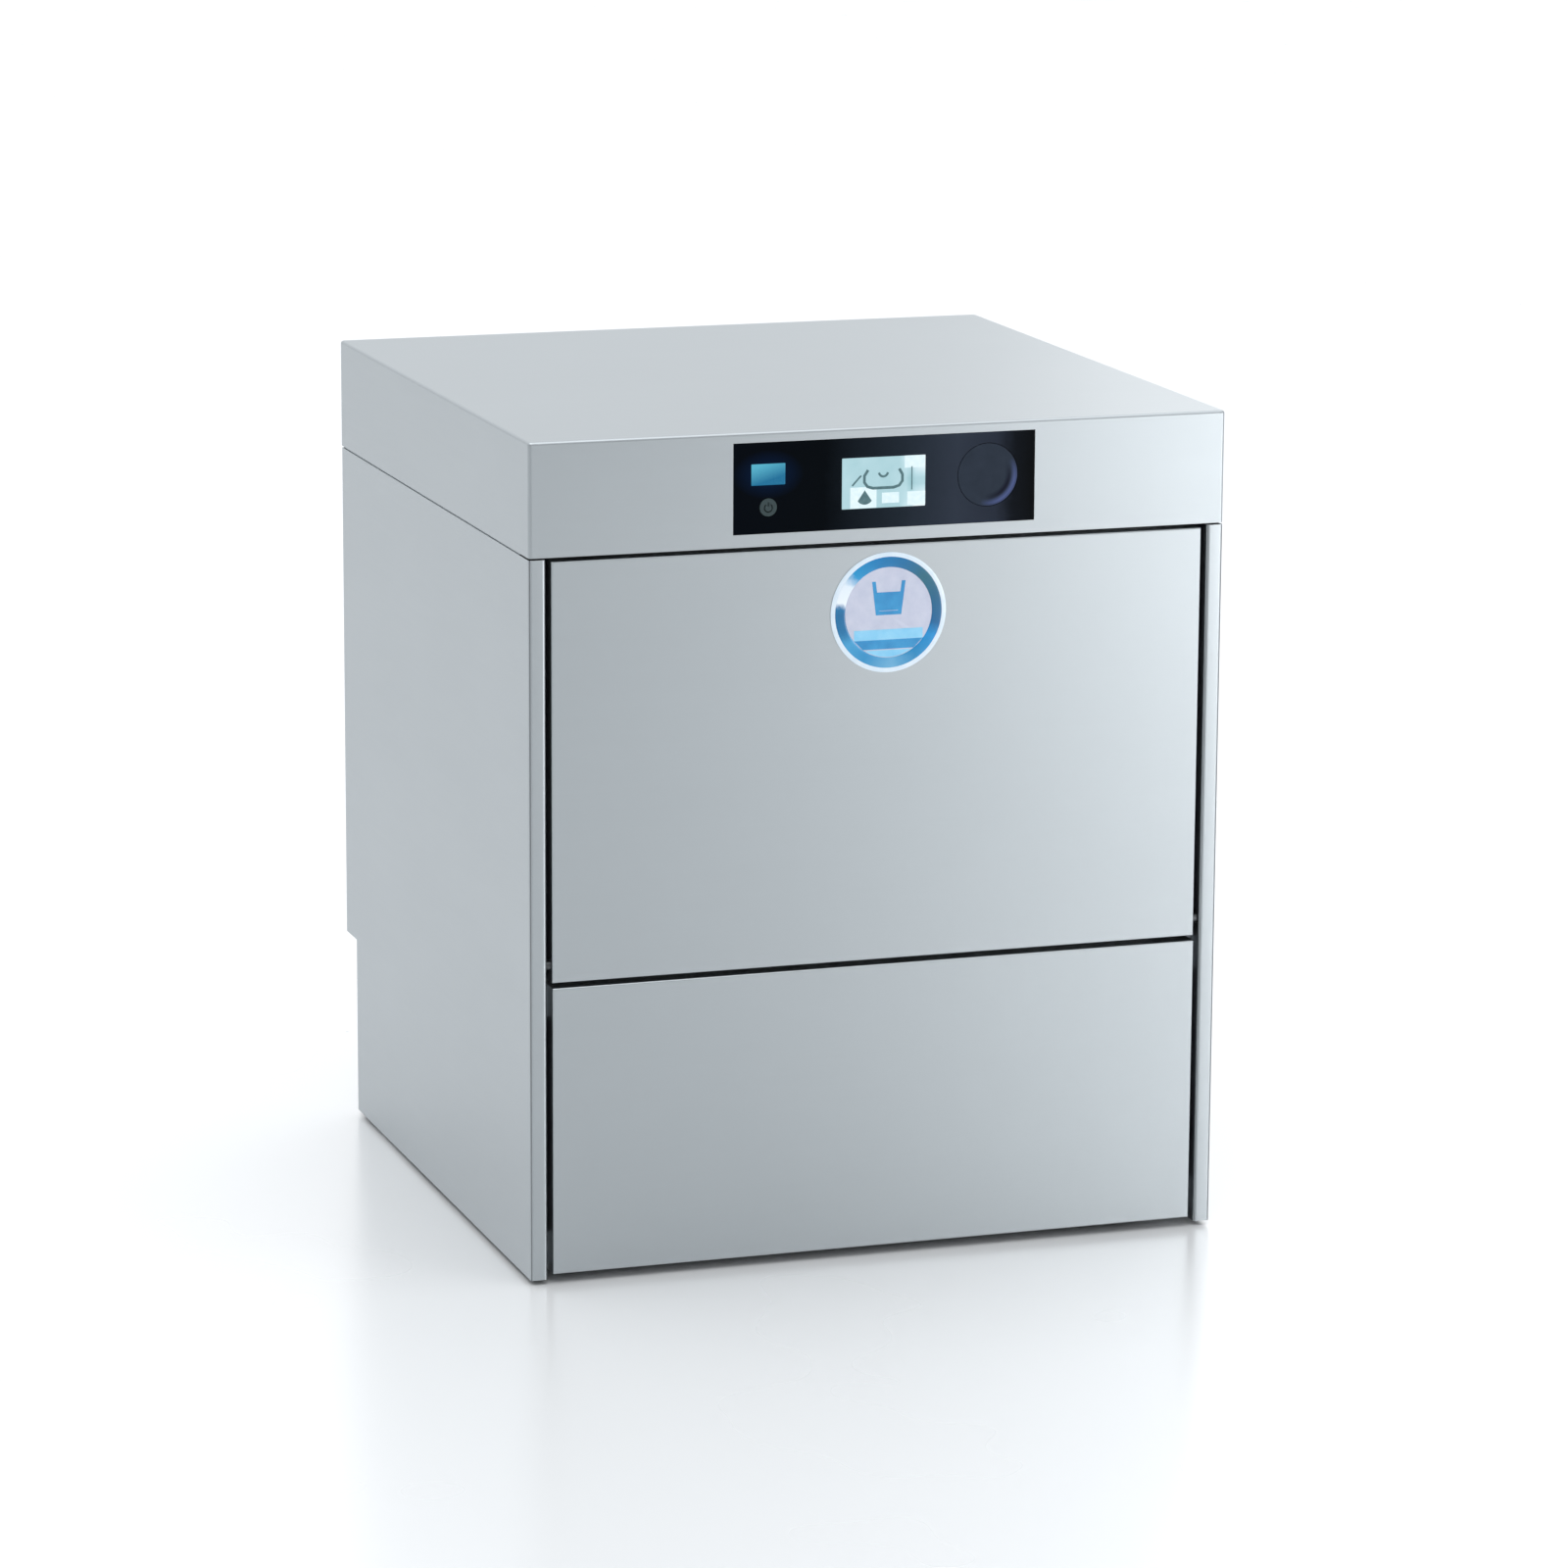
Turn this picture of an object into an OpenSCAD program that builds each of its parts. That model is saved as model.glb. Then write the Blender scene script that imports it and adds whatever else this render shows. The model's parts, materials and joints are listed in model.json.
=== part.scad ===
// Undercounter glass washing machine with a drop-down door.
// Millimetres, +Z up. Origin: centre of the footprint on the floor. The door faces -Y.

/* [Cabinet] */
// Overall width
cab_w = 600; // [598:1:602]
// Overall depth
cab_d = 600; // [598:1:602]
// Overall height
cab_h = 700; // [690:1:710]
// Thickness of the steel sheet
sheet = 1.5; // [1.2:0.1:1.6]
// Outer radius of the bends in the sheet
bend_r = 3; // [2:0.5:4]
// Height of the top cover with its control fascia
cover_h = 94; // [90:1:98]
// Width of the post on each side of the door
post_w = 14.5; // [14:0.5:15]
// Height of the side panels' lower edge above the floor
skirt_z = 4; // [2:1:6]
// Height of the set-back at the foot of the rear side
recess_h = 162; // [155:1:165]
// Depth of that set-back
recess_d = 38.5; // [36:0.5:40]

/* [Door] */
// Gap between door and posts
side_gap = 4.5; // [4:0.5:5]
// Lower edge of the door
door_z = 254; // [253:1:255]
// Upper edge of the door
door_top = 602.5; // [600:0.5:603]
// How far the door skin sits behind the posts
door_inset = 1; // [0.8:0.1:1.2]
// Depth of the hinge pin behind the cabinet's front
pivot_in = 8; // [7.5:0.5:8.5]
// Height of the hinge pin above the door's lower edge
pivot_up = 14; // [13:1:14]
// Thickness of the door from skin to inner liner
door_t = 33; // [32:1:34]
// Radius of the hinge pin
pin_r = 4; // [3:0.5:4]
// Radius of the sector that winds the balance strap
sector_r = 30; // [28:1:30]

/* [Lower front panel] */
// Lower edge of the panel
panel_z = 8; // [6:1:10]
// Upper edge of the panel
panel_top = 250; // [249:1:250]

/* [Control fascia] */
// Width of the black control glass
glass_w = 260; // [250:1:264]
// Height of the control glass
glass_h = 75; // [72:1:78]
// Width of the display window
lcd_w = 72; // [60:1:80]
// Height of the display window
lcd_h = 42; // [36:1:46]
// Radius of the round start key
start_r = 26; // [22:1:27]
// Radius of the power key
power_r = 7.5; // [6:0.5:8]
// Travel of the keys
key_travel = 1.5; // [1:0.5:1.5]
// Radius of the round door badge
badge_r = 50; // [40:0.5:50]

/* [Wash chamber] */
// Inside width
chamber_w = 524; // [518:1:524]
// Inside depth
chamber_d = 512; // [506:1:512]
// Height of the floor
floor_z = 240; // [238:1:242]
// Height of the ceiling
ceiling_z = 652; // [648:1:654]
// Height of the rack rails
rack_z = 296; // [295:1:297]
// Radius swept by the wash arms
arm_reach = 225; // [200:1:235]

/* [Hidden] */
$fn = 48;

// Colours
steel = [0.72, 0.75, 0.77];
dark_steel = [0.45, 0.47, 0.49];
black = [0.06, 0.07, 0.08];
blue = [0.10, 0.45, 0.75];
white = [0.90, 0.92, 0.92];
copper = [0.72, 0.45, 0.30];

// Planes of the cabinet
half_w = cab_w / 2;
half_d = cab_d / 2;
inner_x = half_w - sheet;
cover_z = cab_h - cover_h;
panel_rear_y = half_d - 3.5;
lower_rear_y = half_d - recess_d;
post_return = 25;
rear_flange = 22;
arc_steps = 5;
side_top = cover_z - 1.5;
joggle_h = 24;

// Base tray
tray_z = 12;
tray_flange = 28;
tray_front_y = -half_d + 18;
tray_rear_y = lower_rear_y - 2 * sheet;
foot_x = 245;
foot_front_y = -235;
foot_rear_y = 220;
foot_stem_r = 5;
running = 0.05;

// Door
door_half = half_w - post_w - side_gap;
door_y = -half_d + door_inset;
door_back_y = door_y + door_t;
pivot_y = -half_d + pivot_in;
pivot_z = door_z + pivot_up;
skin_return_y = door_y + 27;
liner_half = door_half - 9;
liner_top = door_top - 6.5;

// Hinge and balance, measured along X on the +X side
arm_x = liner_half;
arm_t = 5;
cheek_in_x = half_w - post_w + sheet;
cheek_t = 1.2;
sector_x = cheek_in_x + 1.6;
sector_t = 4;
cheek_out_x = sector_x + sector_t + 0.6;
cheek_out_t = 2;
balance_x = sector_x + sector_t / 2;
strap_y = pivot_y + sector_r + 0.3;
strap_t = 0.8;
strap_bottom = 196;
spring_r = 7.5;
spring_wire = 1.2;
spring_z = 60;

// Wash chamber
chamber_half = chamber_w / 2 + sheet;
chamber_front_y = -chamber_d / 2 - sheet;
mouth_half = 256;
mouth_z = 290;
mouth_top = 588;
chamber_corner = 7;
rail_half = 230;
sump_w = 220;
sump_d = 200;
sump_y = 10;
sump_z = floor_z - 60;
seal_w = 7;

// Spray arms: z of the hubs
wash_hub_z = 262;
wash_hub_h = 18;
rinse_hub_h = 9;
upper_wash_z = 616;
wash_journal = 12;
rinse_journal = 8;
rinse_hub_z = wash_hub_z + wash_hub_h + 1.3;
upper_rinse_z = upper_wash_z - 12.3;

// Wash pump
pump_y = 35;
pump_z = 95;
pump_r = 50;
motor_r = 45;
shaft_r = 6;

// Boiler
boiler_x = 190;
boiler_z = 110;
boiler_r = 70;
boiler_half = 150;

// Drain
drain_x = -188;
drain_z = 60;
drain_y = -120;

// Services on the rear side
inlet_x = 150;
inlet_z = 60;
gland_x = 230;
gland_z = 120;
gland_bore = 6;

// Dosing pumps
dosing_x = [-205, -135];
dosing_z = 95;

// Control fascia
glass_x = 2;
glass_z = 654;
glass_t = 3;
lcd_x = 1;
lcd_z = 654;
start_x = 91;
start_z = 656;
power_x = -98;
power_z = 638;
light_x = -98;
light_z = 665;
light_w = 29;
light_h = 17.5;
carrier_back_y = -half_d + 11;
board_y = -half_d + 14;

// Front frame
post_inner = half_w - post_w;
upright_y = chamber_front_y - 4.5;
header_y = -half_d + 17;
header_z = cover_z + sheet;
header_top = header_z + 25;
seal_front_y = door_back_y + 0.3;

// Fixings and service connections
screw_r = 2;
inlet_r = 13.2;
spigot_r = 11;
gland_r = 9;

// Spindles, well and its fittings
spindle_r = 13;
spindle_foot_z = sump_z - 15;
suction_x = 80;
sump_drain_x = -60;
sump_drain_y = -60;
heater_x = [-98, -40];
heater_z = sump_z + 22;
heater_r = 4;
basket_x = 62;
basket_y = 30;
basket_r = 34;
arm_rest_angle = 20;

// Pipes
riser_x = -140;
riser_y = 276;
riser_r = 9;
riser_low_z = 158;
riser_top_z = 676;
rinse_z = 660;
drain_motor_r = 27;
dosing_plate_y = -222;

// Badge
badge_x = 6;
badge_z = 546;

// ---------- helpers ----------

// Box between two corners
module block(lo, hi) {
    translate(lo) cube(hi - lo);
}

// Round bar between two points
module rod(a, b, r) {
    v = b - a;
    length = norm(v);
    translate(a)
        rotate([0, acos(v.z / length), atan2(v.y, v.x)])
            cylinder(r = r, h = length);
}

// Tube between two points
module tube(a, b, outer, inner) {
    reach = (b - a) / norm(b - a);
    difference() {
        rod(a, b, outer);
        rod(a - reach, b + reach, inner);
    }
}

// Pipe run through a list of points, with a thicker elbow at each turn
module pipe_run(points, r) {
    for (i = [0 : len(points) - 2]) rod(points[i], points[i + 1], r);
    for (i = [1 : len(points) - 2]) translate(points[i]) sphere(r = r * 1.2);
}

// Region outside a rounded corner, for trimming a bend
module corner_trim(corner, dir, r) {
    centre = corner + dir * r;
    polygon(concat([corner],
        [for (i = [0 : arc_steps])
            centre - r * [dir.x * sin(90 * i / arc_steps), dir.y * cos(90 * i / arc_steps)]]));
}

function corner_arc(centre, r, start) =
    [for (i = [0 : arc_steps]) centre + r * [cos(start + 90 * i / arc_steps),
                                             sin(start + 90 * i / arc_steps)]];

// Rectangle with round corners, centred
module rounded_plan(w, d, r) {
    polygon(concat(corner_arc([w / 2 - r, d / 2 - r], r, 0),
                   corner_arc([-w / 2 + r, d / 2 - r], r, 90),
                   corner_arc([-w / 2 + r, -d / 2 + r], r, 180),
                   corner_arc([w / 2 - r, -d / 2 + r], r, 270)));
}

module rect(lo, hi) {
    translate(lo) square(hi - lo);
}

// Straight blades on a round hub, along +X
module paddles(length, count, reach, hub, thick) {
    rotate([0, 90, 0]) linear_extrude(length) {
        circle(hub);
        for (turn = [0 : 360 / count : 359]) rotate(turn) translate([0, -thick / 2]) square([reach, thick]);
    }
}

// Shallow folded tray, open to the rear
module folded_tray(lo, hi) {
    difference() {
        block(lo, hi);
        block(lo + [sheet, sheet, sheet], hi + [-sheet, 1, -sheet]);
    }
}

module both_sides() {
    children();
    mirror([1, 0, 0]) children();
}

// ---------- cabinet ----------

// Plan of a folded side panel on the -X side
module side_plan(rear_y) {
    difference() {
        union() {
            rect([-half_w, -half_d], [-inner_x, rear_y]);
            rect([-half_w, -half_d], [-half_w + post_w, -half_d + sheet]);
            rect([-half_w + post_w - sheet, -half_d], [-half_w + post_w, -half_d + post_return]);
            rect([-half_w, rear_y - sheet], [-half_w + rear_flange, rear_y]);
        }
        corner_trim([-half_w, -half_d], [1, 1], bend_r);
        corner_trim([-half_w + post_w, -half_d], [-1, 1], bend_r);
    }
}

module screw_places() {
    for (x = [-half_w + 12, half_w - 12], z = [200, 330, 460, 590]) translate([x, 0, z]) children();
}

// Left side panel with its front post, rear flanges, top joggle and spring lug
module side_panel_shape() {
    difference() {
        union() {
            translate([0, 0, skirt_z]) linear_extrude(recess_h - skirt_z) side_plan(lower_rear_y);
            translate([0, 0, recess_h]) linear_extrude(side_top - recess_h) side_plan(panel_rear_y);
            block([-inner_x, -half_d + 30, side_top - joggle_h],
                  [-inner_x + sheet, half_d - 10, side_top + joggle_h]);
            block([-inner_x, strap_y - 7, spring_z - 8], [-balance_x + 6, strap_y + 7, spring_z]);
        }
        rod([-inner_x + 0.5, pivot_y, pivot_z], [-half_w + post_w + 1, pivot_y, pivot_z], pin_r + 1);
        screw_places() rod([0, half_d - 20, 0], [0, half_d, 0], screw_r);
        block([-inner_x, lower_rear_y - 2 * sheet, recess_h - sheet],
              [-half_w + rear_flange + 1, lower_rear_y + 1, recess_h]);
    }
}

module left_side_panel() {
    color(steel) side_panel_shape();
}

module right_side_panel() {
    color(steel) mirror([1, 0, 0]) side_panel_shape();
}

// Upper rear sheet with louvres
module rear_panel() {
    color(steel) difference() {
        block([-half_w + 2, panel_rear_y, recess_h], [half_w - 2, panel_rear_y + sheet, side_top]);
        screw_places() rod([0, half_d - 20, 0], [0, half_d, 0], screw_r);
        for (x = [-150, -90, -30, 30, 90, 150], z = [230 : 14 : 314])
            block([x - 22, panel_rear_y - 1, z], [x + 22, panel_rear_y + 3, z + 4]);
    }
}

module rear_screws() {
    color(dark_steel) screw_places() {
        rod([0, half_d - 2, 0], [0, half_d, 0], 4);
        rod([0, half_d - 9, 0], [0, half_d - 1, 0], screw_r);
    }
}

// Set-back foot of the rear side: upright sheet, shelf and holes for the services
module lower_rear_panel() {
    color(steel) difference() {
        union() {
            block([-inner_x, tray_rear_y, tray_z], [inner_x, tray_rear_y + sheet, recess_h]);
            block([-inner_x, tray_rear_y, recess_h - sheet], [inner_x, panel_rear_y, recess_h]);
        }
        rod([inlet_x, 200, inlet_z], [inlet_x, 290, inlet_z], inlet_r);
        rod([drain_x, 200, drain_z], [drain_x, 290, drain_z], spigot_r);
        rod([gland_x, 200, gland_z], [gland_x, 290, gland_z], gland_r);
    }
}

// Top cover: lid, skirts on all sides and the fascia with its window
module top_cover() {
    color(steel) difference() {
        translate([0, 0, cover_z]) linear_extrude(cover_h) rounded_plan(cab_w, cab_d, bend_r);
        translate([0, 0, cover_z + sheet])
            linear_extrude(cover_h - 2 * sheet)
                rounded_plan(cab_w - 2 * sheet, cab_d - 2 * sheet, bend_r - sheet);
        block([-inner_x, -half_d + 15, cover_z - 1], [inner_x, half_d - sheet, cover_z + 2 * sheet]);
        glass_window(-half_d - 1, -half_d + 5);
    }
}

module lower_front_panel() {
    color(steel) folded_tray([-door_half, -half_d, panel_z], [door_half, tray_front_y, panel_top]);
}

// Welded frame behind the door: two uprights, the sill beam and the header
module front_frame() {
    color(dark_steel) {
        difference() {
            union() {
                both_sides()
                    block([chamber_half, upright_y, tray_z + sheet],
                          [chamber_half + 17, upright_y + 22, header_top]);
                block([-post_inner, tray_front_y, panel_top - 28], [post_inner, upright_y, panel_top]);
                block([-post_inner, header_y, header_z], [post_inner, upright_y, header_top]);
            }
            both_sides()
                block([chamber_half + 3, upright_y + 3, tray_z],
                      [chamber_half + 14, upright_y + 30, header_top - 3]);
            block([-post_inner - 1, tray_front_y + 2, panel_top - 26],
                  [post_inner + 1, upright_y - 2, panel_top - 2]);
            block([-post_inner - 1, header_y + 2, header_z + 2],
                  [post_inner + 1, upright_y - 2, header_top - 2]);
        }
    }
}

module foot_places() {
    for (x = [-foot_x, foot_x], y = [foot_front_y, foot_rear_y]) translate([x, y, 0]) children();
}

// Floor tray with weld nuts for the feet, cradles for boiler and pump, and the dosing upright
module base_tray() {
    color(dark_steel) difference() {
        union() {
            difference() {
                block([-inner_x, tray_front_y, tray_z], [inner_x, tray_rear_y, tray_z + tray_flange]);
                block([-inner_x + sheet, tray_front_y + sheet, tray_z + sheet],
                      [inner_x - sheet, tray_rear_y - sheet, tray_z + tray_flange + 1]);
            }
            foot_places() cylinder(r = 10, h = tray_z + 12);
            for (y = [-110, 95])
                block([boiler_x - 45, y, tray_z], [boiler_x + 45, y + 15, boiler_z - 46]);
            block([-135, pump_y - 30, tray_z], [-50, pump_y + 30, pump_z - 30]);
            block([-245, dosing_plate_y, tray_z], [-95, dosing_plate_y + 2, dosing_z + 45]);
            block([drain_x - 46, drain_y - 18, tray_z], [drain_x - 16, drain_y + 18, drain_z - 20]);
        }
        foot_places() translate([0, 0, -1]) cylinder(r = foot_stem_r + running, h = tray_z + 20);
        foot_places() translate([0, 0, -1]) cylinder(r = 12, h = tray_z + 1);
        rod([boiler_x, -boiler_half, boiler_z], [boiler_x, boiler_half, boiler_z], boiler_r);
        rod([-160, pump_y, pump_z], [-20, pump_y, pump_z], motor_r);
        rod([drain_x - 60, drain_y, drain_z], [drain_x, drain_y, drain_z], drain_motor_r);
        both_sides() block([post_inner, -half_d, 0],
                           [half_w, -half_d + post_return, tray_z + tray_flange + 1]);
    }
}

// Screw feet: pad, hexagon and threaded stem
module levelling_feet() {
    color(black) foot_places() {
        cylinder(r = 20, h = 5);
        cylinder(r = 12, h = 8);
        translate([0, 0, 7]) cylinder(r = 9, h = 4.7, $fn = 6);
        translate([0, 0, 8]) cylinder(r = foot_stem_r, h = 36);
    }
}

// ---------- wash chamber ----------

module wash_chamber() {
    color(steel) difference() {
        translate([0, 0, floor_z - sheet])
            linear_extrude(ceiling_z - floor_z + 2 * sheet)
                rounded_plan(chamber_w + 2 * sheet, chamber_d + 2 * sheet, chamber_corner);
        translate([0, 0, floor_z])
            linear_extrude(ceiling_z - floor_z)
                rounded_plan(chamber_w, chamber_d, chamber_corner - sheet);
        block([-chamber_half - 1, chamber_front_y - 1, floor_z - sheet - 1],
              [chamber_half + 1, chamber_front_y + sheet, ceiling_z + sheet + 1]);
        translate([0, sump_y, floor_z - 5])
            linear_extrude(10) rounded_plan(sump_w - 2 * sheet, sump_d - 2 * sheet, 10);
        rod([0, 0, ceiling_z - 1], [0, 0, ceiling_z + 5], spindle_r);
    }
}

// Front wall welded to the chamber, with the door's mouth
module chamber_front() {
    color(steel) difference() {
        block([-chamber_half, chamber_front_y, floor_z - sheet],
              [chamber_half, chamber_front_y + sheet, ceiling_z + sheet]);
        block([-mouth_half, chamber_front_y - 1, mouth_z],
              [mouth_half, chamber_front_y + sheet + 1, mouth_top]);
    }
}

// Well below the chamber floor
module sump() {
    color(steel) difference() {
        translate([0, sump_y, sump_z - sheet])
            linear_extrude(floor_z - sump_z) rounded_plan(sump_w, sump_d, 12);
        translate([0, sump_y, sump_z])
            linear_extrude(80) rounded_plan(sump_w - 2 * sheet, sump_d - 2 * sheet, 10);
        rod([0, 0, sump_z - 5], [0, 0, sump_z + 5], spindle_r);
        rod([suction_x, pump_y, sump_z - 5], [suction_x, pump_y, sump_z + 5], 13);
        rod([sump_drain_x, sump_drain_y, sump_z - 5], [sump_drain_x, sump_drain_y, sump_z + 5], 7);
        for (x = heater_x) rod([x, -120, heater_z], [x, -60, heater_z], heater_r);
    }
}

// Ledges that carry the glass rack
module rack_rails() {
    color(steel) both_sides() {
        block([chamber_w / 2 - sheet, -rail_half, rack_z - 18], [chamber_w / 2, rail_half, rack_z + 24]);
        block([chamber_w / 2 - 19, -rail_half, rack_z - sheet],
              [chamber_w / 2 - sheet / 2, rail_half, rack_z]);
    }
}

// Two slotted plates over the well
module strainers() {
    color(steel) both_sides() difference() {
        block([0.5, -180, floor_z], [200, 180, floor_z + 2]);
        rod([0, 0, floor_z - 5], [0, 0, floor_z + 5], spindle_r + 2);
        rod([basket_x, basket_y, floor_z - 5], [basket_x, basket_y, floor_z + 5], basket_r + 1);
        for (x = [120, 160], y = [-150 : 15 : 150])
            block([x - 15, y - 2, floor_z - 1], [x + 15, y + 2, floor_z + 3]);
    }
}

// Lift-out filter cup with a rim and a bow handle
module filter_basket() {
    color(steel) translate([basket_x, basket_y, 0]) {
        difference() {
            union() {
                translate([0, 0, sump_z + 1]) cylinder(r = basket_r, h = floor_z - sump_z + 4);
                translate([0, 0, floor_z + 2]) cylinder(r = basket_r + 6, h = 3);
            }
            translate([0, 0, sump_z + 2.2]) cylinder(r = basket_r - 1.2, h = 100);
        }
        block([-2, -basket_r - 4, floor_z + 4], [2, -basket_r, floor_z + 14]);
        block([-2, basket_r, floor_z + 4], [2, basket_r + 4, floor_z + 14]);
        block([-2, -basket_r - 4, floor_z + 13], [2, basket_r + 4, floor_z + 16]);
    }
}

// Heating loop in the well, with its flange outside the wall
module tank_heater() {
    color(copper) {
        for (x = heater_x) rod([x, -112, heater_z], [x, 40, heater_z], heater_r);
        translate([(heater_x[0] + heater_x[1]) / 2, 40, heater_z])
            rotate_extrude(angle = 180)
                translate([(heater_x[1] - heater_x[0]) / 2, 0]) circle(heater_r);
        block([heater_x[0] - 12, sump_y - sump_d / 2 - 3, heater_z - 12],
              [heater_x[1] + 12, sump_y - sump_d / 2, heater_z + 12]);
    }
}

// Hollow spindles that carry the spray arms, below and above
module arm_spindles() {
    color(white) {
        difference() {
            union() {
                rod([0, 0, spindle_foot_z], [0, 0, wash_hub_z - 0.3], spindle_r);
                rod([0, 0, sump_z], [0, 0, sump_z + 4], 22);
                rod([0, 0, wash_hub_z - 6], [0, 0, wash_hub_z - 0.3], 17);
                rod([0, 0, wash_hub_z - 1], [0, 0, wash_hub_z + wash_hub_h + 1], wash_journal);
                rod([0, 0, wash_hub_z + wash_hub_h], [0, 0, rinse_hub_z + rinse_hub_h + 0.3], rinse_journal);
            }
            rod([0, 0, spindle_foot_z - 1], [0, 0, rack_z], 5);
        }
        difference() {
            union() {
                rod([0, 0, upper_wash_z + wash_hub_h + 0.3], [0, 0, ceiling_z + 12], spindle_r);
                rod([0, 0, ceiling_z - 4], [0, 0, ceiling_z], 22);
                rod([0, 0, upper_wash_z - 0.3], [0, 0, upper_wash_z + wash_hub_h + 1], wash_journal);
                rod([0, 0, upper_rinse_z - 0.3], [0, 0, upper_wash_z + 1], rinse_journal);
            }
            rod([0, 0, upper_rinse_z - 5], [0, 0, ceiling_z + 13], 5);
        }
    }
}

// Nuts that keep the spray arms on their spindles
module arm_caps() {
    color(blue) {
        rod([0, 0, rinse_hub_z + rinse_hub_h + 0.3], [0, 0, rack_z - 1.4], 11);
        tube([0, 0, upper_wash_z - 3], [0, 0, upper_wash_z - 0.3], 17, rinse_journal);
        rod([0, 0, upper_rinse_z - 3.8], [0, 0, upper_rinse_z - 0.3], 11);
    }
}

// Flat wash arm with a bored hub and a row of nozzles
module wash_arm(hub_z) {
    color(steel) translate([0, 0, hub_z]) rotate([0, 0, arm_rest_angle]) difference() {
        union() {
            cylinder(r = 24, h = wash_hub_h);
            translate([0, 0, 4]) linear_extrude(11) {
                square([2 * arm_reach - 24, 24], center = true);
                for (end = [-1, 1]) translate([end * (arm_reach - 12), 0]) circle(12);
            }
        }
        translate([0, 0, -1]) cylinder(r = wash_journal + running, h = wash_hub_h + 2);
        for (end = [-1, 1], place = [50 : 38 : arm_reach - 20])
            translate([end * place, end * 3, 0]) cylinder(r = 1.6, h = wash_hub_h);
    }
}

// Round rinse arm with a bored hub
module rinse_arm(hub_z) {
    color(steel) translate([0, 0, hub_z]) rotate([0, 0, arm_rest_angle + 60]) difference() {
        union() {
            cylinder(r = 15, h = rinse_hub_h);
            rod([-arm_reach + 12, 0, rinse_hub_h / 2], [arm_reach - 12, 0, rinse_hub_h / 2], 4);
        }
        translate([0, 0, -1]) cylinder(r = rinse_journal + running, h = rinse_hub_h + 2);
        for (end = [-1, 1], place = [40 : 42 : arm_reach - 20])
            translate([end * place, 0, 0]) cylinder(r = 0.9, h = rinse_hub_h);
    }
}

module lower_wash_arm() {
    wash_arm(wash_hub_z);
}

module lower_rinse_arm() {
    rinse_arm(rinse_hub_z);
}

module upper_wash_arm() {
    wash_arm(upper_wash_z);
}

module upper_rinse_arm() {
    rinse_arm(upper_rinse_z);
}

// ---------- water system ----------

// Pump housing with the discharge stub up to the lower spindle
module wash_pump_volute() {
    color(black) difference() {
        union() {
            rod([-22, pump_y, pump_z], [22, pump_y, pump_z], pump_r);
            rod([0, 0, pump_z], [0, 0, spindle_foot_z], 14);
            rod([-28, pump_y, pump_z], [-20, pump_y, pump_z], 18);
            rod([20, pump_y, pump_z], [28, pump_y, pump_z], 19);
        }
        rod([-18, pump_y, pump_z], [18, pump_y, pump_z], pump_r - 4);
        rod([0, 0, pump_z], [0, 0, spindle_foot_z + 1], 11);
        rod([-30, pump_y, pump_z], [0, pump_y, pump_z], shaft_r + 1);
        rod([0, pump_y, pump_z], [30, pump_y, pump_z], 13);
    }
}

// Motor housing with its shaft bore and a slotted fan cowl
module wash_pump_motor() {
    color(dark_steel) difference() {
        rod([-168, pump_y, pump_z], [-28, pump_y, pump_z], motor_r);
        rod([-166, pump_y, pump_z], [-148, pump_y, pump_z], motor_r - 3);
        rod([-150, pump_y, pump_z], [-27, pump_y, pump_z], shaft_r + running);
        for (turn = [0 : 45 : 315])
            translate([-165, pump_y, pump_z]) rotate([turn, 0, 0]) block([-4, -2, 14], [0, 2, 36]);
    }
}

// Shaft with the impeller at one end and the cooling fan at the other
module wash_pump_rotor() {
    color(copper) {
        rod([-157, pump_y, pump_z], [-10, pump_y, pump_z], shaft_r);
        rod([-12, pump_y, pump_z], [-8, pump_y, pump_z], 41);
        translate([-8, pump_y, pump_z]) paddles(20, 6, 40, 10, 3);
        translate([-160, pump_y, pump_z]) paddles(6, 8, 38, 14, 2);
    }
}

// Suction elbow from the well, and the riser to the upper arms
module wash_pipes() {
    color(black) {
        difference() {
            union() {
                rod([28, pump_y, pump_z], [suction_x, pump_y, pump_z], 16);
                rod([suction_x, pump_y, pump_z], [suction_x, pump_y, sump_z - sheet], 16);
                translate([suction_x, pump_y, pump_z]) sphere(r = 19);
            }
            rod([27, pump_y, pump_z], [suction_x, pump_y, pump_z], 13);
            rod([suction_x, pump_y, pump_z], [suction_x, pump_y, sump_z], 13);
        }
        pipe_run([[-14, 0, riser_low_z], [riser_x, 0, riser_low_z], [riser_x, 232, riser_low_z],
                  [riser_x, 232, 205], [riser_x, riser_y, 205], [riser_x, riser_y, riser_top_z],
                  [0, riser_y, riser_top_z], [0, 0, riser_top_z], [0, 0, ceiling_z + 12]], riser_r);
    }
}

// Rinse water heater: a closed drum with an opening for its element
module boiler() {
    color(steel) difference() {
        rod([boiler_x, -boiler_half, boiler_z], [boiler_x, boiler_half, boiler_z], boiler_r);
        rod([boiler_x, -boiler_half + 2, boiler_z], [boiler_x, boiler_half - 2, boiler_z], boiler_r - 2);
        rod([boiler_x, -boiler_half - 1, boiler_z], [boiler_x, 0, boiler_z], 26);
    }
}

module boiler_heater() {
    color(copper) {
        rod([boiler_x, -boiler_half - 6, boiler_z], [boiler_x, -boiler_half, boiler_z], 36);
        for (x = [-14, 14]) {
            rod([boiler_x + x, -boiler_half - 18, boiler_z], [boiler_x + x, 90, boiler_z], heater_r);
        }
        translate([boiler_x, 90, boiler_z])
            rotate_extrude(angle = 180) translate([14, 0]) circle(heater_r);
    }
}

// Air-gap tank beside the chamber
module break_tank() {
    color(white) difference() {
        block([268, 20, 300], [296, 200, 520]);
        block([270, 22, 302], [294, 198, 530]);
    }
}

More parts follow.
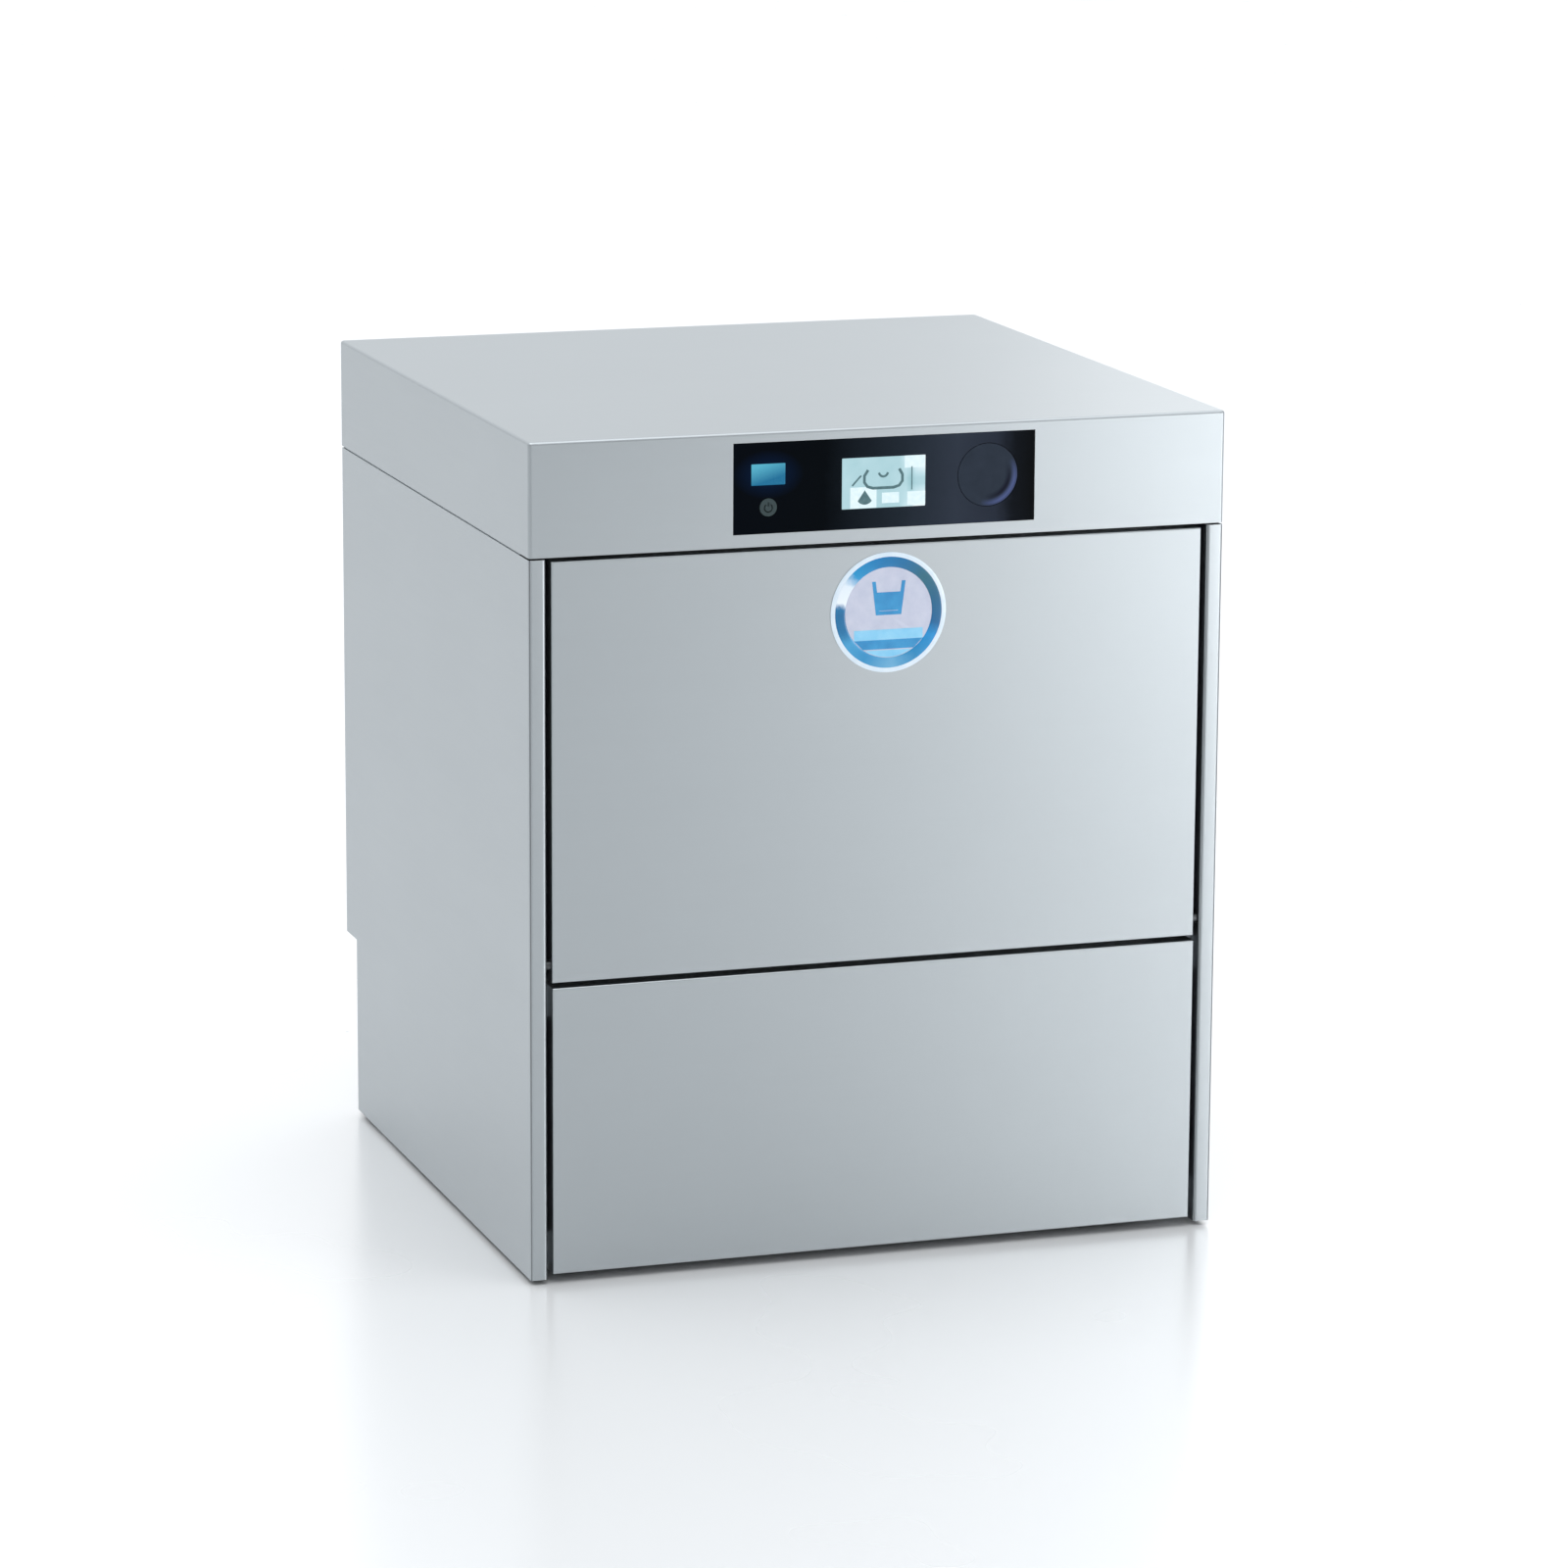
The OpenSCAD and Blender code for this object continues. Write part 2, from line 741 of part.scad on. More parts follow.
// Solenoid valve whose threaded inlet passes through the rear side
module inlet_valve() {
    color(white) {
        block([inlet_x - 15, 215, inlet_z - 15], [inlet_x + 15, 250, inlet_z + 15]);
        rod([inlet_x, 232, inlet_z + 15], [inlet_x, 232, inlet_z + 46], 14);
        difference() {
            union() {
                rod([inlet_x, 248, inlet_z], [inlet_x, lower_rear_y + 20, inlet_z], inlet_r);
                rod([inlet_x, lower_rear_y - sheet, inlet_z], [inlet_x, lower_rear_y + 2.5, inlet_z], 18);
            }
            rod([inlet_x, 255, inlet_z], [inlet_x, 300, inlet_z], 9);
        }
    }
}

// Fill hose, boiler feed hose and rinse hose
module water_hoses() {
    color(blue) {
        pipe_run([[inlet_x + 15, 232, inlet_z], [282, 232, inlet_z], [282, 232, 250], [282, 180, 250],
                  [282, 180, 300]], 6);
        pipe_run([[282, 60, 300], [282, 60, boiler_z], [boiler_x + boiler_r, 60, boiler_z]], 6);
        pipe_run([[boiler_x, 120, boiler_z + boiler_r], [boiler_x, 120, 212], [boiler_x, 278, 212],
                  [boiler_x, 278, rinse_z], [boiler_x, 0, rinse_z], [spindle_r, 0, rinse_z]], 5);
    }
}

// Drain pump: housing and motor
module drain_pump() {
    color(black) difference() {
        union() {
            rod([drain_x - 14, drain_y, drain_z], [drain_x + 14, drain_y, drain_z], 32);
            rod([drain_x - 52, drain_y, drain_z], [drain_x - 10, drain_y, drain_z], drain_motor_r);
            rod([drain_x, drain_y, drain_z], [drain_x, drain_y, drain_z + 44], 9);
            rod([drain_x + 10, drain_y, drain_z], [drain_x + 24, drain_y, drain_z], 9);
        }
        rod([drain_x - 11, drain_y, drain_z], [drain_x + 11, drain_y, drain_z], 29);
        rod([drain_x - 44, drain_y, drain_z], [drain_x, drain_y, drain_z], 3 + running);
        rod([drain_x, drain_y, drain_z], [drain_x, drain_y, drain_z + 45], 7);
        rod([drain_x, drain_y, drain_z], [drain_x + 25, drain_y, drain_z], 7);
    }
}

module drain_pump_rotor() {
    color(copper) {
        rod([drain_x - 42, drain_y, drain_z], [drain_x, drain_y, drain_z], 3);
        translate([drain_x - 7, drain_y, drain_z]) paddles(14, 4, 26, 5, 2);
    }
}

// Hose from the well to the drain pump, and from the pump to the outlet
module drain_hoses() {
    color(dark_steel) {
        pipe_run([[sump_drain_x, sump_drain_y, sump_z - sheet], [sump_drain_x, sump_drain_y, drain_z],
                  [sump_drain_x, drain_y, drain_z], [drain_x + 24, drain_y, drain_z]], 8);
        pipe_run([[drain_x, drain_y, drain_z + 44], [drain_x, drain_y, 150], [drain_x, 200, 150],
                  [drain_x, 200, drain_z], [drain_x, tray_rear_y, drain_z]], 8);
    }
}

// Hose spigot on the rear side
module drain_outlet() {
    color(black) difference() {
        union() {
            rod([drain_x, tray_rear_y, drain_z], [drain_x, lower_rear_y + 32, drain_z], spigot_r);
            rod([drain_x, lower_rear_y - sheet, drain_z], [drain_x, lower_rear_y + 2, drain_z], 18);
        }
        rod([drain_x, tray_rear_y + 1, drain_z], [drain_x, 300, drain_z], 8);
    }
}

// Two peristaltic pumps on the upright of the tray
module dosing_pumps() {
    color(white) for (x = dosing_x) difference() {
        union() {
            block([x - 25, dosing_plate_y - 34, dosing_z - 22], [x + 25, dosing_plate_y, dosing_z + 22]);
            rod([x, dosing_plate_y - 50, dosing_z], [x, dosing_plate_y - 30, dosing_z], 24);
        }
        rod([x, dosing_plate_y - 51, dosing_z], [x, dosing_plate_y - 34, dosing_z], 21);
        rod([x, dosing_plate_y - 40, dosing_z], [x, dosing_plate_y - 12, dosing_z], 3 + running);
    }
}

// Roller carrier of a dosing pump
module dosing_rotor(x) {
    color(blue) translate([x, dosing_plate_y, dosing_z]) {
        rod([0, -49, 0], [0, -13, 0], 3);
        rod([0, -49, 0], [0, -46, 0], 17);
        rod([0, -38, 0], [0, -35, 0], 17);
        for (turn = [0 : 120 : 240])
            rotate([0, turn, 0]) rod([0, -47, 12], [0, -37, 12], 5.5);
    }
}

module detergent_rotor() {
    dosing_rotor(dosing_x[0]);
}

module rinse_aid_rotor() {
    dosing_rotor(dosing_x[1]);
}

// ---------- electrics ----------

// Electrics box with its lid and the relays inside
module control_box() {
    color(white) {
        difference() {
            block([50, -258, tray_z + sheet], [230, -182, 190]);
            block([52, -260, tray_z + sheet + 2], [228, -184, 188]);
        }
        block([50, -260, tray_z + sheet], [230, -258, 190]);
        for (x = [62, 118, 174]) block([x, -215, 60], [x + 42, -184, 130]);
    }
}

// Cable gland on the rear side
module mains_gland() {
    color(black) difference() {
        union() {
            rod([gland_x, tray_rear_y - 8, gland_z], [gland_x, lower_rear_y + 22, gland_z], gland_r);
            rod([gland_x, lower_rear_y - sheet, gland_z], [gland_x, lower_rear_y + 12, gland_z], gland_r + 3);
            rod([gland_x, tray_rear_y - 7, gland_z], [gland_x, tray_rear_y, gland_z], gland_r + 3);
        }
        rod([gland_x, 200, gland_z], [gland_x, 300, gland_z], gland_bore);
    }
}

// Wiring from the electrics box up to the control board
module wiring_loom() {
    color(black)
        pipe_run([[210, -226, 190], [210, -226, 225], [288, -226, 225], [288, -226, 672],
                  [110, -226, 672], [110, board_y + 1.6, 672]], 4);
}

// ---------- control fascia ----------

module glass_window(near, far) {
    block([glass_x - glass_w / 2, near, glass_z - glass_h / 2],
          [glass_x + glass_w / 2, far, glass_z + glass_h / 2]);
}

module lcd_window(near, far, rim) {
    block([lcd_x - lcd_w / 2 - rim, near, lcd_z - lcd_h / 2 - rim],
          [lcd_x + lcd_w / 2 + rim, far, lcd_z + lcd_h / 2 + rim]);
}

module light_window(near, far) {
    block([light_x - light_w / 2, near, light_z - light_h / 2],
          [light_x + light_w / 2, far, light_z + light_h / 2]);
}

module control_glass() {
    color(black) difference() {
        glass_window(-half_d, -half_d + glass_t);
        lcd_window(-half_d - 1, -half_d + 9, 0);
        light_window(-half_d - 1, -half_d + 9);
        rod([start_x, -half_d - 1, start_z], [start_x, -half_d + 9, start_z], start_r + 0.3);
        rod([power_x, -half_d - 1, power_z], [power_x, -half_d + 9, power_z], power_r + 0.3);
    }
}

// Moulding behind the glass, with pockets for display, light and keys
module control_carrier() {
    color(black) difference() {
        block([glass_x - glass_w / 2 - 10, -half_d + sheet, glass_z - glass_h / 2 - 7],
              [glass_x + glass_w / 2 + 10, carrier_back_y, glass_z + glass_h / 2 + 5]);
        glass_window(-half_d, -half_d + glass_t);
        lcd_window(-half_d, 0, 3);
        light_window(-half_d, 0);
        rod([start_x, -half_d, start_z], [start_x, 0, start_z], start_r + 2.4);
        rod([power_x, -half_d, power_z], [power_x, 0, power_z], power_r + 2.4);
    }
}

// Circuit board on pillars, with the two key switches
module control_board() {
    color([0.1, 0.35, 0.2]) {
        block([-128, board_y, glass_z - 34], [132, board_y + 1.6, glass_z + 34]);
        for (x = [-122, -60, 55, 126], z = [-33, 33])
            rod([x, carrier_back_y, glass_z + z * 0.94], [x, board_y, glass_z + z * 0.94], 2.5);
        rod([start_x, board_y - 1.2, start_z], [start_x, board_y, start_z], 3);
        rod([power_x, board_y - 1.2, power_z], [power_x, board_y, power_z], 3);
    }
}

module lcd_display() {
    color([0.68, 0.83, 0.85]) {
        lcd_window(-half_d, -half_d + glass_t, 0);
        lcd_window(-half_d + glass_t, -half_d + 10, 3);
    }
}

module status_light() {
    color(blue) light_window(-half_d, -half_d + 10);
}

// Push key: face, retaining flange and plunger
module key(x, z, r) {
    color(dark_steel) {
        rod([x, -half_d, z], [x, -half_d + 7, z], r);
        rod([x, -half_d + glass_t + 0.3, z], [x, -half_d + 6, z], r + 2);
        rod([x, -half_d + 6, z], [x, board_y - 1.2 - key_travel - 0.3, z], 3);
    }
}

module start_key() {
    key(start_x, start_z, start_r);
}

module power_key() {
    key(power_x, power_z, power_r);
}

// ---------- door ----------

// Outer skin with its four returns; the lower return is short to clear the sill
module door_skin() {
    color(steel) difference() {
        folded_tray([-door_half, door_y, door_z], [door_half, skin_return_y, door_top]);
        block([-door_half + sheet, door_y + 11, door_z - 1],
              [door_half - sheet, skin_return_y + 1, door_z + 5]);
        both_sides()
            rod([door_half - 5, pivot_y, pivot_z], [door_half + 5, pivot_y, pivot_z], pin_r);
    }
}

// Inner liner: a pressed tray facing the skin
module door_liner() {
    color(steel) difference() {
        block([-liner_half, door_y + sheet, pivot_z], [liner_half, door_back_y, liner_top]);
        block([-liner_half + sheet, door_y, pivot_z + sheet],
              [liner_half - sheet, door_back_y - sheet, liner_top - sheet]);
    }
}

module door_insulation() {
    color([0.85, 0.8, 0.6])
        block([-liner_half + sheet, door_y + sheet, pivot_z + sheet],
              [liner_half - sheet, door_back_y - sheet, liner_top - sheet]);
}

// Round badge on the skin
module door_badge() {
    color(blue) rod([badge_x, -half_d, badge_z], [badge_x, door_y, badge_z], badge_r);
}

// Gasket round the chamber's mouth
module door_seal() {
    color(black) difference() {
        block([-mouth_half - seal_w - 0.5, seal_front_y, mouth_z - seal_w - 0.5],
              [mouth_half + seal_w + 0.5, chamber_front_y, mouth_top + seal_w + 0.5]);
        block([-mouth_half - 0.5, seal_front_y - 1, mouth_z - 0.5],
              [mouth_half + 0.5, chamber_front_y + 1, mouth_top + 0.5]);
    }
}

// Proximity switch under the header
module door_switch() {
    color(black) block([-250, header_y + 3, header_z - 3.6], [-220, header_y + 17, header_z]);
}

// Plates inside the door that hold the hinge pins
module hinge_arms() {
    color(dark_steel) both_sides() difference() {
        block([arm_x, pivot_y - 5.4, pivot_z - 10], [arm_x + arm_t, pivot_y + 22, pivot_z + 62]);
        rod([arm_x - 1, pivot_y, pivot_z], [arm_x + arm_t + 1, pivot_y, pivot_z], pin_r);
    }
}

// Hinge pins, each with the sector that winds its balance strap
module hinge_pins() {
    color(dark_steel) both_sides() {
        rod([arm_x, pivot_y, pivot_z], [half_w - 4, pivot_y, pivot_z], pin_r);
        rod([sector_x, pivot_y, pivot_z], [sector_x + sector_t, pivot_y, pivot_z], pin_r + 2);
        difference() {
            rod([sector_x, pivot_y, pivot_z], [sector_x + sector_t, pivot_y, pivot_z], sector_r);
            block([0, pivot_y - 50, pivot_z + 4], [half_w, pivot_y + 50, pivot_z + 50]);
            block([0, pivot_y - 50, pivot_z - 50], [half_w, pivot_y, pivot_z + 50]);
        }
    }
}

// Two cheeks and a bridge in each post, bored for the hinge pin
module hinge_brackets() {
    color(dark_steel) both_sides() difference() {
        union() {
            block([cheek_in_x, -half_d + sheet, pivot_z - 12],
                  [cheek_in_x + cheek_t, pivot_y + 12, pivot_z + 12]);
            block([cheek_out_x, -half_d + sheet, pivot_z - 12],
                  [cheek_out_x + cheek_out_t, pivot_y + 12, pivot_z + 12]);
            block([cheek_in_x, -half_d + sheet, pivot_z + 7],
                  [cheek_out_x + cheek_out_t, pivot_y - 6.3, pivot_z + 12]);
        }
        rod([cheek_in_x - 1, pivot_y, pivot_z], [half_w, pivot_y, pivot_z], pin_r + running);
    }
}

// Steel straps from the sectors down to the springs
module balance_straps() {
    color(steel) both_sides() {
        block([sector_x, strap_y, strap_bottom], [sector_x + sector_t, strap_y + strap_t, pivot_z + 4]);
        block([sector_x, strap_y - 3, strap_bottom], [sector_x + sector_t, strap_y + 3, strap_bottom + 8]);
    }
}

// Tension springs in the posts
module balance_springs() {
    color(dark_steel) both_sides()
        tube([balance_x, strap_y, spring_z], [balance_x, strap_y, strap_bottom],
             spring_r, spring_r - 2 * spring_wire);
}

// ---------- output ----------

base_tray();
levelling_feet();
left_side_panel();
right_side_panel();
rear_panel();
lower_rear_panel();
rear_screws();
top_cover();
lower_front_panel();
front_frame();
wash_chamber();
chamber_front();
sump();
rack_rails();
strainers();
filter_basket();
tank_heater();
arm_spindles();
arm_caps();
lower_wash_arm();
lower_rinse_arm();
upper_wash_arm();
upper_rinse_arm();
wash_pump_volute();
wash_pump_motor();
wash_pump_rotor();
wash_pipes();
boiler();
boiler_heater();
break_tank();
inlet_valve();
water_hoses();
drain_pump();
drain_pump_rotor();
drain_hoses();
drain_outlet();
dosing_pumps();
detergent_rotor();
rinse_aid_rotor();
control_box();
mains_gland();
wiring_loom();
control_glass();
control_carrier();
control_board();
lcd_display();
status_light();
start_key();
power_key();
door_skin();
door_liner();
door_insulation();
door_badge();
door_seal();
door_switch();
hinge_arms();
hinge_pins();
hinge_brackets();
balance_straps();
balance_springs();
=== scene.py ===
import json
import math

import bmesh
import bpy
from mathutils import Matrix, Vector


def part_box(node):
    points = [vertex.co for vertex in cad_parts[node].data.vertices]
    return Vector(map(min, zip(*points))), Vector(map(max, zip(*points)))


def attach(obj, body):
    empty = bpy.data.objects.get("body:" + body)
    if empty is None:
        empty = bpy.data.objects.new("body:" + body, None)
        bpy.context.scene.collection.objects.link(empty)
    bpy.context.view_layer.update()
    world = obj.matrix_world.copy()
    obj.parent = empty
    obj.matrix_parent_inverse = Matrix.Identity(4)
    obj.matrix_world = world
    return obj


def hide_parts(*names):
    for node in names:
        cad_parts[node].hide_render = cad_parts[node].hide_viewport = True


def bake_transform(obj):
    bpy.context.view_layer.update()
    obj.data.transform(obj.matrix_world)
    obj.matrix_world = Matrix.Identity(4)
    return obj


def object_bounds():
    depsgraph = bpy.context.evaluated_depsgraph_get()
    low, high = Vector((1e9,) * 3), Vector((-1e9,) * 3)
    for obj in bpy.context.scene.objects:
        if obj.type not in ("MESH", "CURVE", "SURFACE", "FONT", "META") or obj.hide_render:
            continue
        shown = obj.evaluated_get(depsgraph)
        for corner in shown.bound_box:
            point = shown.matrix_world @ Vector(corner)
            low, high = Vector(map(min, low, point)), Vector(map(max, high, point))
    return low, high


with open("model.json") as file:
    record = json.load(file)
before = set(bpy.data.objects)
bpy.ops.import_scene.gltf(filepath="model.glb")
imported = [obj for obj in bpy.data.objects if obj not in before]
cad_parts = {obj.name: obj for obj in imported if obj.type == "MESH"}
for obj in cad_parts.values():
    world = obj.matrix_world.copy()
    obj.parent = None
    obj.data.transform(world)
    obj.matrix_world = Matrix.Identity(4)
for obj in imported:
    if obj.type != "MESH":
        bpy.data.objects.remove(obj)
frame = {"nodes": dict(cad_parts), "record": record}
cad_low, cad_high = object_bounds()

NODES = frame["nodes"]
RECORD = frame["record"]
BODY_OF = {node: body for body, members in RECORD["behaviour"]["bodies"].items() for node in members}
UP = Vector((0, 0, 1))
FULL_TURN = 2 * math.pi


# ---------------------------------------------------------------- shader wiring

class Wire:
    """A socket that takes arithmetic: every operator adds one Math node."""

    def __init__(self, graph, socket):
        self.graph, self.socket = graph, socket

    def math(self, operation, *values):
        return self.graph.add("ShaderNodeMath", {"operation": operation}, dict(enumerate(values)))

    def __add__(self, other):
        return self.math("ADD", self, other)

    def __radd__(self, other):
        return self.math("ADD", other, self)

    def __sub__(self, other):
        return self.math("SUBTRACT", self, other)

    def __rsub__(self, other):
        return self.math("SUBTRACT", other, self)

    def __mul__(self, other):
        return self.math("MULTIPLY", self, other)

    def __rmul__(self, other):
        return self.math("MULTIPLY", other, self)

    def __truediv__(self, other):
        return self.math("DIVIDE", self, other)

    def __abs__(self):
        return self.math("ABSOLUTE", self)

    def above(self, limit):
        return self.math("GREATER_THAN", self, limit)

    def held(self):
        """The value kept between 0 and 1."""
        return self.graph.add("ShaderNodeClamp", {}, {"Value": self})

    def axis(self, index):
        """One coordinate of a vector: 0, 1 or 2."""
        return self.graph.add("ShaderNodeSeparateXYZ", {}, {"Vector": self}, index)


class Graph:
    """The node tree of one material. Every node in it is made by add()."""

    def __init__(self, tree):
        self.tree = tree
        tree.nodes.clear()

    def add(self, kind, settings, sockets, out=0):
        node = self.tree.nodes.new(kind)
        for name, value in settings.items():
            if name == "stops":
                elements = node.color_ramp.elements
                elements.remove(elements[-1])
                for place, colour in value:
                    stop = elements[0] if place == value[0][0] else elements.new(place)
                    stop.position, stop.color = place, (*colour, 1)
            else:
                setattr(node, name, value)
        for name, value in sockets.items():
            if isinstance(value, Wire):
                self.tree.links.new(value.socket, node.inputs[name])
            else:
                node.inputs[name].default_value = value
        return Wire(self, node.outputs[out]) if len(node.outputs) > out else None

    def place(self, scale=(1, 1, 1), centre=(0, 0, 0)):
        """Object coordinates, counted from centre and stretched by scale."""
        here = self.add("ShaderNodeTexCoord", {}, {}, 3)
        moved = self.add("ShaderNodeMapping", {}, {"Vector": here, "Location": [-c for c in centre]})
        return self.add("ShaderNodeVectorMath", {"operation": "MULTIPLY"}, {0: moved, 1: scale})

    def noise(self, where, scale=1.0, detail=2.0, roughness=0.5):
        return self.add("ShaderNodeTexNoise", {},
                        {"Vector": where, "Scale": scale, "Detail": detail, "Roughness": roughness})

    def cells(self, where, scale):
        return self.add("ShaderNodeTexVoronoi", {}, {"Vector": where, "Scale": scale})

    def blend(self, factor, first, second):
        """Colour first where factor is 0, second where it is 1."""
        colours = [c if isinstance(c, Wire) else (*c, 1) for c in (first, second)]
        return self.add("ShaderNodeMix", {"data_type": "RGBA"}, {0: factor, 6: colours[0], 7: colours[1]}, 2)

    def pick(self, factor, first, second):
        """Vector first where factor is 0, second where it is 1."""
        return self.add("ShaderNodeMix", {"data_type": "VECTOR"}, {0: factor, 4: first, 5: second}, 1)

    def ramp(self, factor, stops):
        return self.add("ShaderNodeValToRGB", {"stops": stops}, {"Fac": factor})

    def facing(self):
        """The surface's own direction."""
        return self.add("ShaderNodeNewGeometry", {}, {}, 1)

    def bump(self, height, depth, strength=1.0):
        return self.add("ShaderNodeBump", {}, {"Height": height, "Distance": depth, "Strength": strength})

    def surface(self, sockets):
        shader = self.add("ShaderNodeBsdfPrincipled", {}, sockets)
        self.add("ShaderNodeOutputMaterial", {}, {"Surface": shader})


def linear(red, green, blue):
    """A colour given in display values of 0 to 255, as the shader's linear values."""
    shares = [v / 255 for v in (red, green, blue)]
    return tuple(v / 12.92 if v <= 0.04045 else ((v + 0.055) / 1.055) ** 2.4 for v in shares)


def fresh(name):
    material = bpy.data.materials.new(name)
    material.use_nodes = True
    return material, Graph(material.node_tree)


# ---------------------------------------------------------------- finishes

def sheet_steel(name, colour, roughness, grain_depth, smudge=0.05):
    """Satin stainless sheet: fine level grain, slow mill clouds and faint wiped smudges."""
    material, g = fresh(name)
    across, along = 1400, 9
    level = abs(g.facing().axis(2)).above(0.7)
    lines = g.pick(level, g.place((along, along, across)), g.place((along, across, along)))
    grain = g.noise(lines, 1.0, 4, 0.65)
    clouds = g.noise(g.place(), 4.2, 3, 0.5)
    wiped = g.noise(g.place((5, 5, 16)), 1.0, 4, 0.6)
    tone = (0.5 + (grain - 0.5) * 0.28 + (clouds - 0.5) * 0.22).held()
    dark, light = [c * 0.93 for c in colour], [min(1, c * 1.07) for c in colour]
    rough = roughness + (grain - 0.5) * 0.10 + (wiped - 0.5) * smudge
    g.surface({"Base Color": g.blend(tone, dark, light), "Metallic": 1.0, "Roughness": rough.held(),
               "Normal": g.bump(grain, grain_depth, 0.35)})
    return material


def perforated_sheet(name, colour, roughness, pitch):
    """Stainless strainer sheet punched with rows of small round holes, painted near black as the shade seen
    through them.
    """
    material, g = fresh(name)
    side = abs(g.facing().axis(0)).above(0.5)
    upright = abs(g.facing().axis(2)).above(0.5)
    flat = g.place((1 / pitch, 1 / pitch, 0))
    wall = g.pick(side, g.place((1 / pitch, 0, 1 / pitch)), g.place((0, 1 / pitch, 1 / pitch)))
    cell = g.add("ShaderNodeVectorMath", {"operation": "FRACTION"}, {0: g.pick(upright, wall, flat)})
    off = g.add("ShaderNodeVectorMath", {"operation": "SUBTRACT"}, {0: cell, 1: (0.5, 0.5, 0.5)})
    first, second, third = (abs(off.axis(i)) for i in range(3))
    spread = first * first + second * second + third * third - 0.25
    hole = (0.34 ** 2 - spread).above(0.0)
    grain = g.noise(g.place((900, 900, 900)), 1.0, 3, 0.6)
    # The holes are painted near black and unmetallic: painted shade in place of the dark space seen through
    # them.
    dark = [c * 0.06 for c in colour]
    g.surface({"Base Color": g.blend(hole, g.blend(grain, [c * 0.9 for c in colour], colour), dark),
               "Metallic": (1 - hole).held(),
               "Roughness": (roughness + (grain - 0.5) * 0.1 + hole * 0.3).held(),
               "Normal": g.bump((1 - hole) + grain * 0.1, 0.0004, 0.5)})
    return material


def pressed_steel(name, colour, roughness):
    """Galvanised sheet: broad zinc flakes and white bloom."""
    material, g = fresh(name)
    flakes = g.add("ShaderNodeTexVoronoi", {"feature": "F1"}, {"Vector": g.place(), "Scale": 95.0}, 1)
    flake = flakes.axis(0)
    bloom = g.noise(g.place(), 22, 5, 0.6)
    tone = (flake * 0.6 + bloom * 0.4).held()
    g.surface({"Base Color": g.blend(tone, [c * 0.72 for c in colour], [c * 1.2 for c in colour]),
               "Metallic": 0.9,
               "Roughness": (roughness + (bloom - 0.5) * 0.2 + (flake - 0.5) * 0.12).held(),
               "Normal": g.bump(flake + bloom, 0.0001, 0.3)})
    return material


def turned_metal(name, colour, roughness):
    """Machined or drawn metal with fine tool marks and faint stains."""
    material, g = fresh(name)
    marks = g.noise(g.place(), 912, 3, 0.6)
    stain = g.noise(g.place(), 35, 4, 0.6)
    tone = (marks * 0.45 + stain * 0.55).held()
    g.surface({"Base Color": g.blend(tone, [c * 0.82 for c in colour], [min(1, c * 1.12) for c in colour]),
               "Metallic": 1.0, "Roughness": (roughness + (stain - 0.5) * 0.16).held(),
               "Normal": g.bump(marks, 0.00004, 0.4)})
    return material


def cast_metal(name, colour, roughness):
    """Die-cast aluminium: sandy skin with darker hollows."""
    material, g = fresh(name)
    sand = g.noise(g.place(), 900, 3, 0.6)
    patch = g.noise(g.place(), 30, 4, 0.55)
    g.surface({"Base Color": g.blend((patch * 0.7 + sand * 0.3).held(), [c * 0.75 for c in colour], colour),
               "Metallic": 0.85, "Roughness": (roughness + (patch - 0.5) * 0.2).held(),
               "Normal": g.bump(sand, 0.0001, 0.5)})
    return material


def heated_metal(name):
    """Heater tube: nickel alloy with straw and blue heat tints and pale lime scale."""
    material, g = fresh(name)
    heat = g.noise(g.place(), 18, 2, 0.5)
    scale = g.noise(g.place(), 260, 5, 0.65)
    tint = g.ramp(heat, [(0.3, linear(150, 146, 140)), (0.5, linear(158, 128, 92)),
                         (0.62, linear(112, 104, 122)), (0.8, linear(140, 140, 138))])
    g.surface({"Base Color": g.blend((scale - 0.55).held() * 2, tint, linear(205, 200, 190)),
               "Metallic": 0.85, "Roughness": (0.3 + (scale - 0.4).held()).held(),
               "Normal": g.bump(scale, 0.00015, 0.5)})
    return material


def moulded(name, colour, roughness, grain=1300, depth=0.00005, coat=0.0):
    """Injection-moulded plastic: fine spark-eroded grain and slight sink shading."""
    material, g = fresh(name)
    skin = g.noise(g.place(), grain, 2, 0.5)
    flow = g.noise(g.place((8, 8, 22)), 1.0, 3, 0.5)
    g.surface({"Base Color": g.blend(flow, [c * 0.88 for c in colour], [min(1, c * 1.1) for c in colour]),
               "Roughness": (roughness + (skin - 0.5) * 0.12 + (flow - 0.5) * 0.08).held(),
               "Coat Weight": coat, "Coat Roughness": 0.15, "Normal": g.bump(skin, depth, 0.6)})
    return material


def rubber(name, colour, ribs=0.0):
    """Black rubber with a dry bloom and, on hoses, fine fabric ribs."""
    material, g = fresh(name)
    dust = g.noise(g.place(), 40, 5, 0.65)
    skin = g.noise(g.place(), 1500, 2, 0.5)
    height = skin + g.noise(g.place((ribs + 1, ribs + 1, ribs + 1)), 1.0, 1, 0.4) * 2 if ribs else skin
    g.surface({"Base Color": g.blend((dust - 0.35).held(), colour, [c * 2.4 + 0.01 for c in colour]),
               "Roughness": (0.62 + (dust - 0.5) * 0.3).held(), "Specular IOR Level": 0.35,
               "Normal": g.bump(height, 0.00008, 0.6)})
    return material


